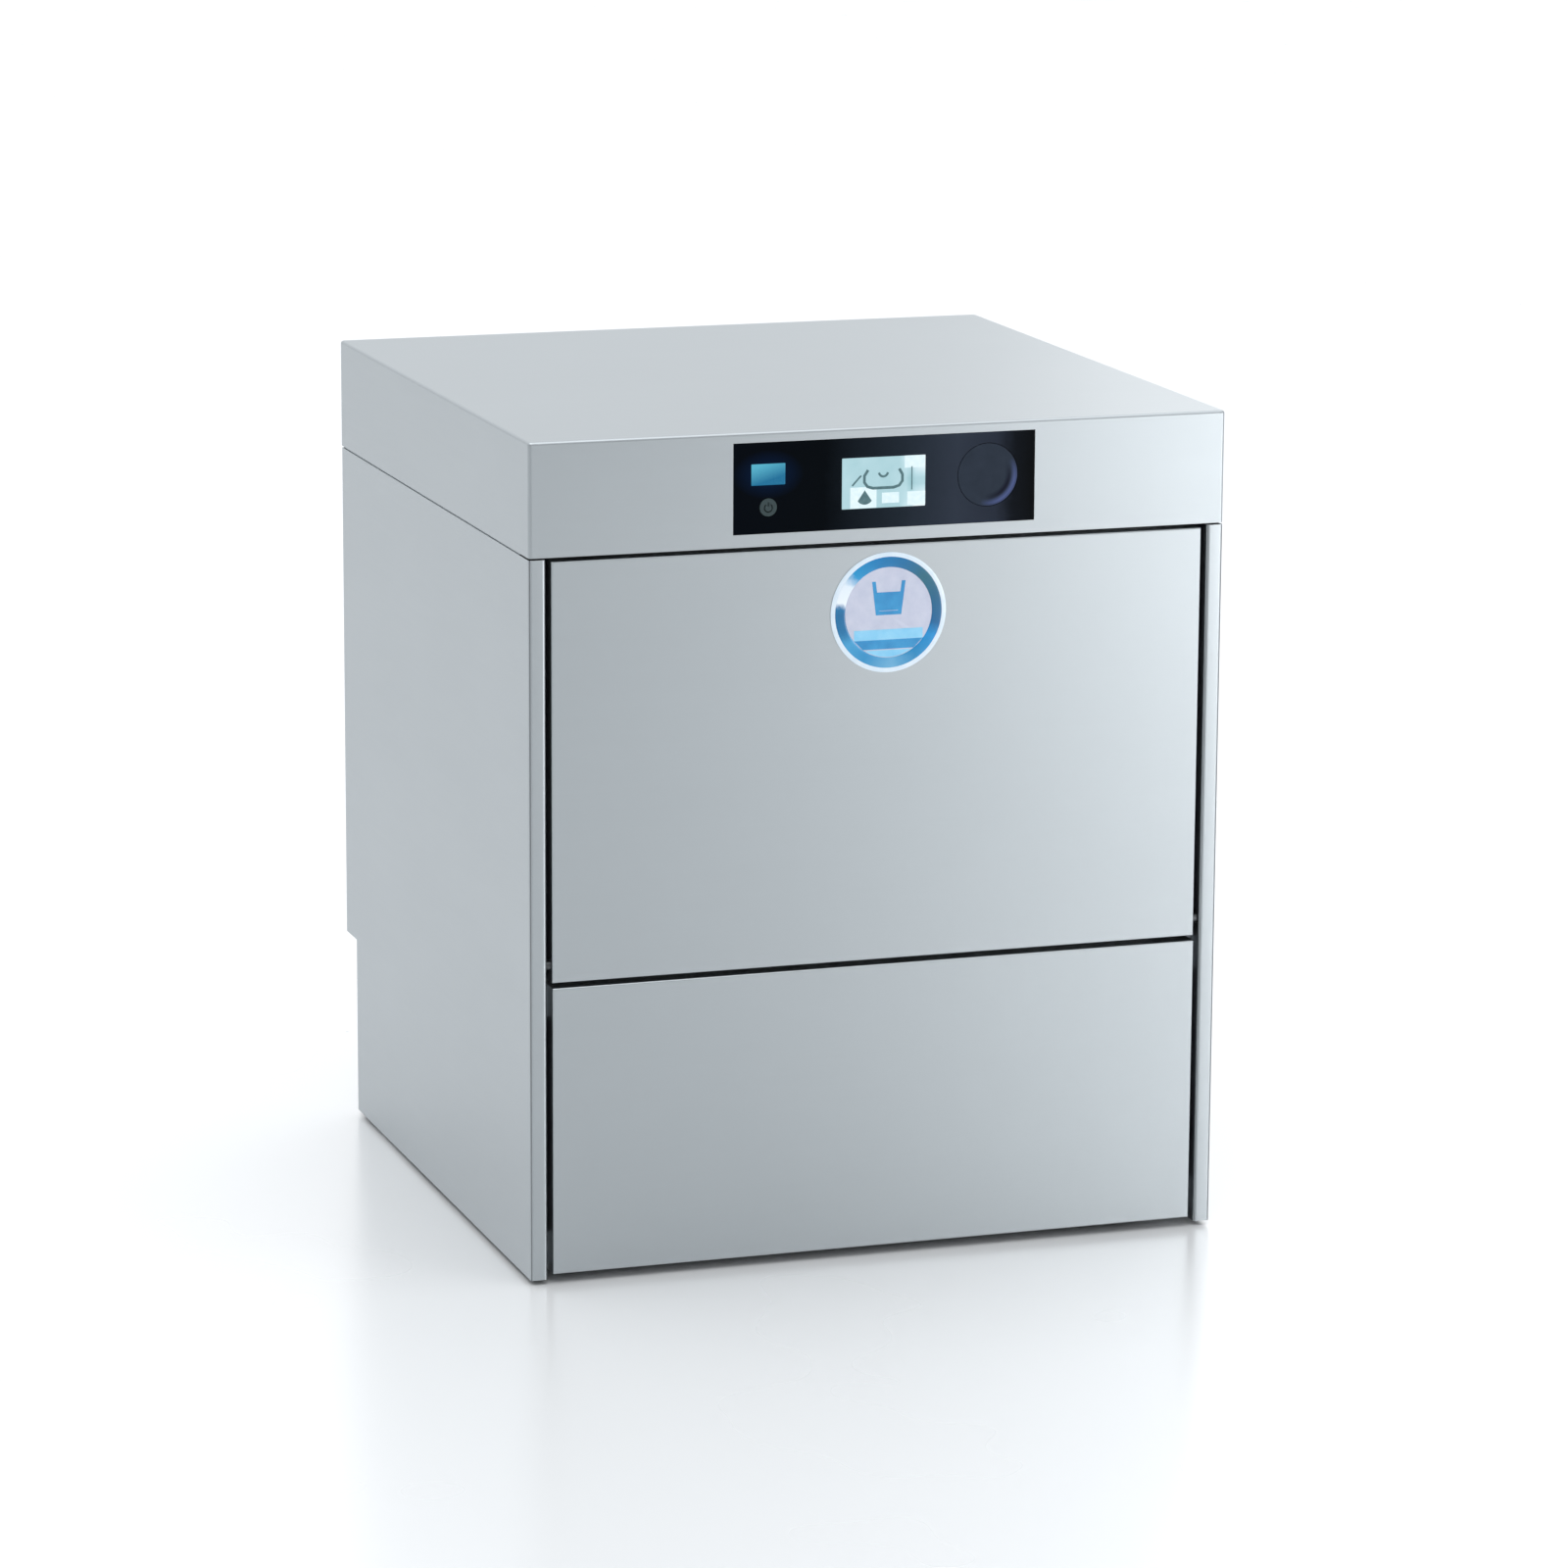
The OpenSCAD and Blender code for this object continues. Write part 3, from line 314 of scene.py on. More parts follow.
def printed_glass(name):
    """Toughened glass printed black on its back: a clear gloss over a faintly uneven print, lighter in a band
    right of middle as a painted reflection, with a painted blue glow round the lamp window.
    """
    material, g = fresh(name)
    low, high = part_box("control_glass")
    far = (g.place((1 / (high.x - low.x),) * 3, (low.x, 0, 0)).axis(0)).held()
    haze = g.noise(g.place(), 60, 4, 0.6)
    # Painted reflection: the print runs from near black at the left to a lighter band right of middle, then
    # dark again at the right edge.
    across = [(0.0, linear(0, 4, 12)), (0.3, linear(1, 5, 10)), (0.55, linear(30, 38, 47)),
              (0.74, linear(47, 54, 66)), (0.87, linear(40, 46, 58)), (0.93, linear(16, 20, 26)),
              (1.0, linear(7, 9, 11))]
    print_with_painted_reflection = g.ramp((far + (haze - 0.5) * 0.06).held(), across)
    # Painted glow: the glass round the lamp window gives off a faint blue light of its own.
    lamp_low, lamp_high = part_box("status_light")
    lamp, lamp_w = (lamp_low + lamp_high) / 2, lamp_high.x - lamp_low.x
    beside = g.add("ShaderNodeVectorMath", {"operation": "LENGTH"},
                   {0: g.place((1 / lamp_w, 0, 1.5 / lamp_w), lamp)}, 1)
    painted_lamp_glow = ((1.05 - beside) * 1.2).held()
    g.surface({"Base Color": print_with_painted_reflection, "Roughness": (0.12 + (haze - 0.5) * 0.05).held(), "IOR": 1.5,
               "Specular IOR Level": 0.05,
               "Emission Color": g.blend(painted_lamp_glow, (0, 0, 0), linear(4, 28, 62)), "Emission Strength": 0.7})
    return material


def wool(name):
    """Mineral wool: matted yellow-grey fibres."""
    material, g = fresh(name)
    mat = g.noise(g.place((400, 400, 1400)), 1.0, 5, 0.7)
    lump = g.noise(g.place(), 45, 4, 0.6)
    g.surface({"Base Color": g.ramp((mat * 0.5 + lump * 0.5).held(),
                                    [(0.2, linear(120, 104, 60)), (0.5, linear(188, 172, 110)),
                                     (0.8, linear(222, 212, 160))]),
               "Roughness": 0.95, "Normal": g.bump(mat + lump, 0.0012, 0.8)})
    return material


def circuit(name):
    """Circuit board lacquer with copper tracks under it and tinned spots."""
    material, g = fresh(name)
    here = g.place()
    upright = g.add("ShaderNodeCombineXYZ", {}, {"X": here.axis(0), "Y": here.axis(2)})
    tracks = g.add("ShaderNodeTexBrick", {"offset": 0.37, "squash": 0.6},
                   {"Vector": upright, "Scale": 130.0, "Mortar Size": 0.035, "Color1": (0, 0, 0, 1),
                    "Color2": (0, 0, 0, 1), "Mortar": (1, 1, 1, 1)}, 1)
    spots = 1 - g.cells(g.place(), 240).above(0.28)
    body = g.blend(tracks, linear(10, 78, 46), linear(46, 124, 70))
    g.surface({"Base Color": g.blend(spots, body, linear(190, 188, 176)), "Metallic": spots * 0.8,
               "Roughness": (0.34 - spots * 0.1).held(), "Coat Weight": 0.4})
    return material


def lit_window(name, core, edge, strength):
    """A lamp window: bright band towards its upper left, fading to its edges."""
    material, g = fresh(name)
    low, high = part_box("status_light")
    mid, size = (low + high) / 2, high - low
    here = g.place((2 / size.x, 0, 2 / size.z), mid)
    lift = (here.axis(2) * 0.6 - here.axis(0) * 0.3 + 0.35).held()
    grain = g.noise(g.place(), 700, 2)
    colour = g.blend((lift * 0.85 + grain * 0.15).held(), edge, core)
    g.surface({"Base Color": g.blend(0.9, colour, linear(4, 14, 20)), "Roughness": 0.2,
               "Emission Color": colour, "Emission Strength": strength, "Specular IOR Level": 0.2})
    return material


def display_glow(name):
    """Backlit display: pale cyan field, brighter at its right end and corners, faint pixel rows."""
    material, g = fresh(name)
    low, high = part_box("lcd_display")
    mid, size = (low + high) / 2, high - low
    here = g.place((2 / size.x, 0, 2 / size.z), mid)
    right, height = here.axis(0), here.axis(2)
    corner = ((right - 0.35) * 1.6).held() * (abs(height) - 0.1).held() * 1.4
    seam = 1 - (abs(right - 0.6) * 9).held()
    rows = (g.place().axis(2) * 9000).math("SINE", g.place().axis(2) * 9000)
    cloud = g.noise(g.place(), 55, 3)
    level = (0.26 + corner + cloud * 0.25 - seam * 0.18 + rows * 0.015).held()
    colour = g.ramp(level, [(0.2, linear(150, 194, 202)), (0.5, linear(188, 220, 228)),
                            (0.95, linear(238, 250, 255))])
    g.surface({"Base Color": g.blend(0.9, colour, linear(20, 26, 28)), "Roughness": 0.18,
               "Specular IOR Level": 0.2, "Emission Color": colour, "Emission Strength": 0.92})
    return material


def lit_print(name, low_colour, high_colour):
    """A sign on the display, lit from behind, a little uneven."""
    material, g = fresh(name)
    uneven = g.noise(g.place(), 240, 3)
    colour = g.blend(uneven, low_colour, high_colour)
    g.surface({"Base Color": g.blend(0.85, colour, (0.01, 0.012, 0.012)), "Roughness": 0.3,
               "Specular IOR Level": 0.2, "Emission Color": colour, "Emission Strength": 0.9})
    return material


def dark_disc(name):
    """Start key: smoked disc with a painted highlight, a lavender arc inside its lower right rim, and a
    painted shade band just inside that arc.
    """
    material, g = fresh(name)
    low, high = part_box("start_key")
    mid = (low + high) / 2
    radius = (high.x - low.x) / 2
    here = g.place((1 / radius, 0, 1 / radius), mid)
    right, height = here.axis(0), here.axis(2)
    reach = g.add("ShaderNodeVectorMath", {"operation": "LENGTH"}, {0: here}, 1)
    toward = (right * 0.8 - height * 0.6) / (reach + 0.001)
    # Painted highlight: the lavender arc near the lower right rim. Painted shade: the darker band just inside
    # it.
    inner = 1 - (abs(reach - 0.84) * 8).held()
    outer = 1 - (abs(reach - 0.66) * 8).held()
    lit = inner * ((toward - 0.35) * 1.8).held()
    painted_shade_band = outer * ((toward - 0.45) * 1.8).held()
    haze = g.noise(g.place(), 90, 3)
    disc = g.blend(haze, linear(38, 46, 57), linear(47, 55, 68))
    disc_with_painted_shade = g.blend(painted_shade_band, disc, linear(14, 16, 34))
    g.surface({"Base Color": g.blend(lit, disc_with_painted_shade, linear(76, 88, 132)),
               "Roughness": (0.16 + haze * 0.08).held(), "Specular IOR Level": 0.08})
    return material


def ring_enamel(name, centre, stops, roughness=0.22):
    """Enamel whose colour changes round the badge; stops are (part of a turn from the left, colour)."""
    material, g = fresh(name)
    here = g.place((1, 0, 1), centre)
    turn = here.axis(2).math("ARCTAN2", here.axis(2), here.axis(0)) / (2 * math.pi) + 0.5
    pearl = g.noise(g.place(), 160, 4, 0.6)
    colour = g.ramp((turn + (pearl - 0.5) * 0.03).held(), stops)
    g.surface({"Base Color": colour, "Roughness": (roughness + (pearl - 0.5) * 0.1).held(),
               "Coat Weight": 0.3, "Coat Roughness": 0.06})
    return material


def plain_enamel(name, low_colour, high_colour, roughness=0.25):
    """One enamel field with a soft pearl drift between two near colours."""
    material, g = fresh(name)
    pearl = g.noise(g.place(), 70, 4, 0.6)
    g.surface({"Base Color": g.blend(pearl, low_colour, high_colour),
               "Roughness": (roughness + (pearl - 0.5) * 0.1).held(),
               "Coat Weight": 0.3, "Coat Roughness": 0.06})
    return material


FINISH = {
    "outer_sheet": sheet_steel("outer_sheet", (0.436, 0.470, 0.490), 0.37, 0.00003),
    "inner_sheet": sheet_steel("inner_sheet", (0.560, 0.580, 0.595), 0.27, 0.000015, 0.05),
    "perforated": perforated_sheet("perforated", (0.520, 0.540, 0.555), 0.30, 0.0042),
    "zinc": pressed_steel("zinc", (0.42, 0.44, 0.46), 0.42),
    "bright_steel": turned_metal("bright_steel", (0.68, 0.69, 0.71), 0.22),
    "polished_tube": turned_metal("polished_tube", (0.62, 0.64, 0.66), 0.2),
    "cast_aluminium": cast_metal("cast_aluminium", (0.52, 0.53, 0.55), 0.5),
    # Hinge pins: near-black steel as painted shade, so the pins read as dark as the shadowed door gap they
    # cross.
    "dark_steel": turned_metal("dark_steel", (0.10, 0.105, 0.11), 0.4),
    "brass": turned_metal("brass", (0.66, 0.50, 0.26), 0.28),
    "heater": heated_metal("heater"),
    "black_plastic": moulded("black_plastic", (0.022, 0.023, 0.026), 0.48),
    "white_plastic": moulded("white_plastic", (0.72, 0.73, 0.72), 0.42),
    "blue_plastic": moulded("blue_plastic", (0.05, 0.22, 0.52), 0.38),
    "grey_plastic": moulded("grey_plastic", (0.30, 0.31, 0.32), 0.45),
    "tank_plastic": moulded("tank_plastic", (0.74, 0.76, 0.74), 0.34, 500, 0.00008, 0.15),
    "rubber": rubber("rubber", (0.018, 0.018, 0.020)),
    "hose_rubber": rubber("hose_rubber", (0.020, 0.020, 0.022), 260),
    "blue_hose": moulded("blue_hose", (0.06, 0.24, 0.55), 0.35, 420, 0.00012),
    "printed_glass": printed_glass("printed_glass"),
    "display": display_glow("display"),
    "status_window": lit_window("status_window", linear(92, 188, 214), linear(4, 106, 152), 0.8),
    "start_disc": dark_disc("start_disc"),
    "power_disc": moulded("power_disc", (0.012, 0.034, 0.038), 0.5, 800, 0.00003, 0.0),
    "power_mark": moulded("power_mark", (0.06, 0.16, 0.18), 0.5, 800, 0.00003, 0.0),
    "circuit": circuit("circuit"),
    "wool": wool("wool"),
    "blue_enamel": plain_enamel("blue_enamel", linear(14, 112, 176), linear(64, 168, 220)),
}

# Which finish each CAD node takes
NODE_FINISH = {
    "outer_sheet": ["top_cover", "left_side_panel", "right_side_panel", "door_skin", "lower_front_panel",
                    "rear_panel", "lower_rear_panel"],
    "inner_sheet": ["door_liner", "wash_chamber", "chamber_front", "sump", "rack_rails"],
    "perforated": ["strainers", "filter_basket"],
    "polished_tube": ["lower_wash_arm", "lower_rinse_arm", "upper_wash_arm", "upper_rinse_arm", "boiler"],
    "zinc": ["base_tray", "front_frame", "hinge_arms", "hinge_brackets"],
    # The hinge pins' near-black steel is painted shade.
    "dark_steel": ["hinge_pins"],
    "bright_steel": ["rear_screws", "balance_straps", "balance_springs"],
    "cast_aluminium": ["wash_pump_motor"],
    "brass": ["wash_pump_rotor", "drain_pump_rotor"],
    "heater": ["tank_heater", "boiler_heater"],
    "black_plastic": ["levelling_feet", "wash_pump_volute", "drain_pump", "drain_outlet", "mains_gland",
                      "control_carrier", "door_switch"],
    "white_plastic": ["arm_spindles", "inlet_valve", "dosing_pumps"],
    "grey_plastic": ["control_box"],
    "tank_plastic": ["break_tank"],
    "blue_plastic": ["arm_caps", "detergent_rotor", "rinse_aid_rotor"],
    "blue_hose": ["water_hoses"],
    "hose_rubber": ["wash_pipes", "drain_hoses"],
    "rubber": ["wiring_loom", "door_seal"],
    "printed_glass": ["control_glass"],
    "display": ["lcd_display"],
    "status_window": ["status_light"],
    "start_disc": ["start_key"],
    "power_disc": ["power_key"],
    "circuit": ["control_board"],
    "wool": ["door_insulation"],
    "blue_enamel": ["door_badge"],
}
FINISH_OF = {node: finish for finish, members in NODE_FINISH.items() for node in members}


# ---------------------------------------------------------------- making pieces

def piece(name, bm, body, finish, smooth=35, even=False):
    """Turns a bmesh into a finished object that rides on a body."""
    bmesh.ops.recalc_face_normals(bm, faces=bm.faces)
    mesh = bpy.data.meshes.new(name)
    bm.to_mesh(mesh)
    bm.free()
    mesh.shade_smooth()
    mesh.set_sharp_from_angle(angle=math.radians(smooth))
    mesh.materials.append(FINISH[finish] if isinstance(finish, str) else finish)
    shown = bpy.data.objects.new(name, mesh)
    bpy.context.scene.collection.objects.link(shown)
    if even:
        evened = shown.modifiers.new("even_normals", "WEIGHTED_NORMAL")
        evened.keep_sharp = True
    if body:
        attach(shown, body)
    return shown


def corners(bm, angle=30):
    """Edges where two faces meet at more than the angle."""
    limit = math.radians(angle)
    return [e for e in bm.edges if len(e.link_faces) == 2 and e.calc_face_angle(0) > limit]


def round_edges(bm, edges, width, segments=2):
    bmesh.ops.bevel(bm, geom=edges, offset=width, offset_type="OFFSET", segments=segments, profile=0.5,
                    affect="EDGES", clamp_overlap=True, material=-1)


def merged(node):
    """A copy of a node's shape with its loose triangles joined into whole faces."""
    bm = bmesh.new()
    bm.from_mesh(NODES[node].data)
    bmesh.ops.remove_doubles(bm, verts=bm.verts, dist=2e-6)
    bmesh.ops.dissolve_limit(bm, angle_limit=math.radians(0.4), verts=bm.verts, edges=bm.edges)
    return bm


def soften(node, width, folds=None, fold_radius=0.0018, finish=None, angle=30):
    """The node with its cut edges broken, and the edges that folds() picks rounded as a bend."""
    bm = merged(node)
    if folds:
        round_edges(bm, [e for e in corners(bm, angle) if folds(*(v.co for v in e.verts))], fold_radius, 4)
    round_edges(bm, corners(bm, angle), width, 2)
    shown = piece(node + "_shape", bm, BODY_OF[node], finish or FINISH_OF[node], 40, True)
    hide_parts(node)
    return shown


def lathe(bm, profile, centre, axis, steps=48):
    """Spins a profile of (distance along the axis, radius) into the mesh being made."""
    direction = Vector(axis).normalized()
    side = direction.orthogonal().normalized()
    start = Vector(centre)
    verts = [bm.verts.new(start + direction * along + side * radius) for along, radius in profile]
    edges = [bm.edges.new(pair) for pair in zip(verts, verts[1:])]
    bmesh.ops.spin(bm, geom=verts + edges, cent=start, axis=direction, angle=FULL_TURN, steps=steps,
                   use_merge=True)
    bmesh.ops.remove_doubles(bm, verts=bm.verts, dist=1e-6)


def turned(name, profile, centre, axis, body, finish, steps=48):
    """A turned part: profile holds (distance along the axis, radius) from one end to the other."""
    bm = bmesh.new()
    lathe(bm, profile, centre, axis, steps)
    return piece(name, bm, body, finish)


def ribs(start, end, pitch, root, crest):
    """Closed profile of a row of ribs from start to end, with a wall under the root."""
    wall = 0.002
    count = max(1, round((end - start) / pitch))
    step = (end - start) / count
    inside = root - wall
    profile = [(start, inside), (start, root)]
    for i in range(count):
        at = start + i * step
        profile += [(at + 0.25 * step, crest), (at + 0.55 * step, crest), (at + 0.85 * step, root)]
    return profile + [(end, root), (end, inside), (start, inside)]


def flat_shape(bm, outline, front, depth):
    """An upright plate: outline holds (x, z) points, front is its y, and depth goes back from there."""
    face = bm.faces.new([bm.verts.new((x, front, z)) for x, z in outline])
    grown = bmesh.ops.extrude_face_region(bm, geom=[face])["geom"]
    moved = [v for v in grown if isinstance(v, bmesh.types.BMVert)]
    bmesh.ops.translate(bm, vec=(0, depth, 0), verts=moved)


def rectangle(left, base, right, over):
    """Outline of an upright rectangle."""
    return [(left, base), (right, base), (right, over), (left, over)]


def arc(radius, start, end, steps, centre=(0, 0), stretch=1.0):
    """Points on an arc, angles in degrees, counted from +X towards +Z."""
    turns = [math.radians(start + (end - start) * i / steps) for i in range(steps + 1)]
    return [(centre[0] + radius * math.cos(t), centre[1] + radius * stretch * math.sin(t)) for t in turns]


def stroke(bm, route, width, front, depth):
    """A line of even width drawn on an upright face along a route of (x, z) points."""
    steps = list(zip(route, route[1:]))
    runs = [Vector((b[0] - a[0], b[1] - a[1])).normalized() for a, b in steps]
    turns = [runs[0]] + [(a + b).normalized() for a, b in zip(runs, runs[1:])] + [runs[-1]]
    offsets = [Vector((-t.y, t.x)) * width / 2 for t in turns]
    near = [(p[0] + o.x, p[1] + o.y) for p, o in zip(route, offsets)]
    far = [(p[0] - o.x, p[1] - o.y) for p, o in zip(route, offsets)]
    flat_shape(bm, near + far[::-1], front, depth)


def band(inner, outer, start, end, steps, centre, stretch=1.0):
    """Outline of a part of a ring."""
    return arc(outer, start, end, steps, centre, stretch) + arc(inner, end, start, steps, centre, stretch)


# ---------------------------------------------------------------- cabinet and door sheets

FRONT, LEFT, RIGHT, TOP = cad_low.y, cad_low.x, cad_high.x, cad_high.z
NEAR = 0.0004


def cabinet_sheets():
    """Every folded sheet keeps its size, with bends at its folds and broken cut edges."""
    soften("top_cover", 0.0003, lambda a, b: min(a.z, b.z) > TOP - NEAR, 0.0026)
    soften("left_side_panel", 0.0003,
           lambda a, b: max(a.y, b.y) < FRONT + NEAR or max(a.x, b.x) < LEFT + NEAR, 0.0018)
    soften("right_side_panel", 0.0003,
           lambda a, b: max(a.y, b.y) < FRONT + NEAR or min(a.x, b.x) > RIGHT - NEAR, 0.0018)
    door_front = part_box("door_skin")[0].y
    soften("door_skin", 0.0003, lambda a, b: max(a.y, b.y) < door_front + NEAR, 0.0016)
    panel_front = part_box("lower_front_panel")[0].y
    soften("lower_front_panel", 0.0003, lambda a, b: max(a.y, b.y) < panel_front + NEAR, 0.0016)
    for node in ("rear_panel", "lower_rear_panel", "door_liner", "front_frame", "base_tray", "rack_rails",
                 "hinge_arms", "hinge_brackets", "balance_straps", "wash_chamber", "chamber_front", "sump"):
        soften(node, 0.0003)


# ---------------------------------------------------------------- control fascia

def control_fascia():
    """The glass, its lamp window and its keys with broken edges, and the sign on the power key."""
    soften("control_glass", 0.0005)
    soften("status_light", 0.0006)
    soften("start_key", 0.0008)
    soften("power_key", 0.0006)
    soften("control_carrier", 0.0003)
    low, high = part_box("power_key")
    middle = (low + high) / 2
    half_line, depth = 0.0004, 0.0002
    ring = (middle.x, middle.z - half_line)
    mark = bmesh.new()
    flat_shape(mark, band(0.0030, 0.0038, -235, 55, 20, ring), low.y, depth)
    flat_shape(mark, rectangle(ring[0] - half_line, ring[1] + 0.0012, ring[0] + half_line, ring[1] + 0.0046),
               low.y, depth)
    piece("power_symbol", mark, "power_key", "power_mark")


def display_signs():
    """The display's window set back behind its glass edge, with generic signs printed on it."""
    low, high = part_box("lcd_display")
    mid = (low + high) / 2
    half_w, half_h = (high.x - low.x) / 2, (high.z - low.z) / 2
    depth = 0.00012
    face = low.y + 2 * depth
    window = merged("lcd_display")
    for v in window.verts:
        v.co.y = max(v.co.y, face + depth)
    round_edges(window, corners(window), 0.0006)
    shown = piece("lcd_display_window", window, "cabinet", "display", 40, True)
    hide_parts("lcd_display")

    ink = lit_print("display_ink", linear(52, 84, 90), linear(98, 132, 138))
    pale = lit_print("display_field", linear(204, 232, 240), linear(240, 252, 255))
    signs, fields = bmesh.new(), bmesh.new()
    line = 0.0024

    def at(across, up):
        return mid.x + across * half_w, mid.z + up * half_h

    dish = [at(*p) for p in ((-0.35, 0.44), (-0.43, 0.24), (-0.43, 0.02), (-0.36, -0.13), (-0.24, -0.19),
                             (0.22, -0.19), (0.34, -0.13), (0.41, 0.02), (0.41, 0.24), (0.34, 0.44))]
    stroke(signs, dish, line, face, depth)
    stroke(signs, arc(half_w * 0.10, 190, 350, 10, at(-0.01, 0.36)), line * 0.8, face, depth)
    stroke(signs, [at(-0.70, -0.08), at(-0.55, 0.18), at(-0.50, 0.26)], line * 0.6, face, depth)
    stroke(signs, [at(0.62, 0.5), at(0.62, -0.3)], line * 0.4, face, depth)
    drop_w, drop_h = 0.17 * half_w, 0.25 * half_h
    drop = at(-0.42, -0.52)
    tip = (drop[0], drop[1] + drop_h * 1.1)
    flat_shape(signs, arc(drop_w, 205, 335, 10, drop, 0.8) + [tip], face, depth)
    for low_corner, high_corner in (((-0.74, -0.86), (-0.16, -0.14)), ((0.46, 0.46), (0.90, 0.88)),
                                    ((0.52, -0.82), (0.92, -0.36)), ((-0.04, -0.72), (0.34, -0.36))):
        flat_shape(fields, rectangle(*at(*low_corner), *at(*high_corner)), face + depth / 2, depth / 2)
    piece("display_signs", signs, "cabinet", ink)
    piece("display_fields", fields, "cabinet", pale)


# ---------------------------------------------------------------- badge on the door

def door_badge():
    """Round enamel badge: pale rim painted as a white halo of light, blue ring with a painted highlight at
    its upper left, pearl face with a drinking glass over a water line.
    """
    low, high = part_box("door_badge")
    mid = (low + high) / 2
    centre = (mid.x, mid.z)
    radius = (high.x - low.x) / 2
    back, top = high.y, low.y
    rim_w, ring_w = radius * 0.075, radius * 0.175
    ring_out = radius - rim_w
    face_out = ring_out - ring_w
    level = (back - top) / 5

    plate = [(0, 0), (0, radius - 0.0002), (level, radius), (3 * level, radius),
             (3.7 * level, radius - 0.0007), (3.9 * level, ring_out), (3.6 * level, ring_out - 0.0005),
             (3.6 * level, 0)]
    # The rim's pale colour is a painted halo, a soft white glow round the badge.
    disc = turned("badge_plate", plate, (mid.x, back, mid.z), (0, -1, 0), "door",
                  plain_enamel("badge_rim_painted_halo", linear(196, 218, 236), linear(238, 246, 252)), 96)
    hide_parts("door_badge")

    # The near-white stops at the upper left (0.905 to 0.965) are a painted highlight on the blue ring.
    ring_stops_with_painted_highlight = [(0.0, linear(0, 104, 156)), (0.06, linear(4, 112, 164)), (0.10, linear(64, 158, 208)),
                  (0.17, linear(40, 142, 196)), (0.26, linear(104, 172, 212)), (0.34, linear(24, 134, 188)),
                  (0.42, linear(0, 140, 206)), (0.46, linear(4, 98, 150)), (0.54, linear(20, 98, 136)),
                  (0.62, linear(36, 104, 124)), (0.70, linear(6, 108, 160)), (0.78, linear(0, 120, 180)),
                  (0.87, linear(24, 148, 204)), (0.905, linear(226, 238, 248)),
                  (0.965, linear(236, 244, 252)),
                  (0.982, linear(8, 112, 164)), (1.0, linear(0, 104, 156))]
    ring = [(3.5 * level, face_out), (4.5 * level, face_out + 0.0003), (4.9 * level, face_out + 0.0014),
            (4.9 * level, ring_out - 0.0012), (4.4 * level, ring_out - 0.0002), (3.5 * level, ring_out)]
    turned("badge_ring", ring, (mid.x, back, mid.z), (0, -1, 0), "door",
           ring_enamel("badge_ring_enamel", mid, ring_stops_with_painted_highlight), 128)

    face = [(3.5 * level, 0), (3.5 * level, face_out + 0.0002), (4.2 * level, face_out), (4.2 * level, 0)]
    turned("badge_face", face, (mid.x, back, mid.z), (0, -1, 0), "door",
           plain_enamel("badge_pearl", linear(176, 184, 208), linear(214, 216, 230)), 96)

    bright = plain_enamel("badge_bright", linear(104, 190, 234), linear(168, 222, 246))
    front = back - 4.6 * level
    cup_z = centre[1] + radius * 0.24
    cup_h, cup_top, cup_foot = radius * 0.28, radius * 0.29, radius * 0.22
    wall = radius * 0.065
    inner_top, inner_foot = cup_top - wall, cup_foot - wall * 0.9
    glass = [(-cup_top, cup_h), (-cup_foot, -cup_h), (cup_foot, -cup_h), (cup_top, cup_h), (inner_top, cup_h),
             (inner_foot, wall - cup_h), (-inner_foot, wall - cup_h), (-inner_top, cup_h)]
    drink_foot, drink_top = cup_foot * 0.74, cup_top * 0.70
    drink = [(-drink_foot, -cup_h * 0.74), (drink_foot, -cup_h * 0.74), (drink_top, cup_h * 0.35),
             (-drink_top, cup_h * 0.35)]
    marks = bmesh.new()
    for outline in (glass, drink):
        flat_shape(marks, [(centre[0] + x, cup_z + z) for x, z in outline], front, level)
    chord_z = -radius * 0.53
    half_bar = radius * 0.078
    under, over = chord_z - half_bar, chord_z + half_bar
    reach_under, reach_over = (math.sqrt(face_out ** 2 - z ** 2) for z in (under, over))
    bar = [(-reach_under, under), (reach_under, under), (reach_over, over), (-reach_over, over)]
    flat_shape(marks, [(centre[0] + x, centre[1] + z) for x, z in bar], front, level)
    piece("badge_glass_sign", marks, "door", "blue_enamel")

    shine = bmesh.new()
    shine_z, half_shine = chord_z + half_bar * 2.1, half_bar * 1.1
    reach = math.sqrt(face_out ** 2 - shine_z ** 2) * 0.91
    flat_shape(shine, rectangle(centre[0] - reach, centre[1] + shine_z - half_shine,
                                centre[0] + reach, centre[1] + shine_z + half_shine), front, level)
    start = math.degrees(math.asin((chord_z - half_bar * 1.3) / face_out))
    flat_shape(shine, arc(face_out * 0.99, 180 - start, 360 + start, 32, centre), front, level)
    piece("badge_shine", shine, "door", bright)


# ---------------------------------------------------------------- wash chamber

WASH_ARM_TURN, RINSE_ARM_TURN = 20, 80
WASH_JETS = [0.050 + 0.038 * i for i in range(5)]
RINSE_JETS = [0.040 + 0.042 * i for i in range(4)]
ARM_BLADE_LOW, ARM_BLADE_HIGH, JET_OFFSET = 0.004, 0.015, 0.003
RINSE_TUBE = 0.004


def spray_jets(node, turn, places, offset, face, up, mouth, rim, body):
    """A pressed rim round every spray hole of an arm, on the side it sprays to."""
    bm = bmesh.new()
    along = Vector((math.cos(math.radians(turn)), math.sin(math.radians(turn)), 0))
    across = Vector((-along.y, along.x, 0))
    sunk, shoulder, raised = -0.0004, 0.0003, 0.0008
    ring = [(sunk, rim), (shoulder, rim), (raised, rim - 0.0005), (raised, mouth + 0.0002), (sunk, mouth),
            (sunk, rim)]
    for end in (-1, 1):
        for place in places:
            spot = along * end * place + across * end * offset
            lathe(bm, ring, (spot.x, spot.y, face), (0, 0, up), 20)
    piece(node + "_jets", bm, body, "bright_steel")


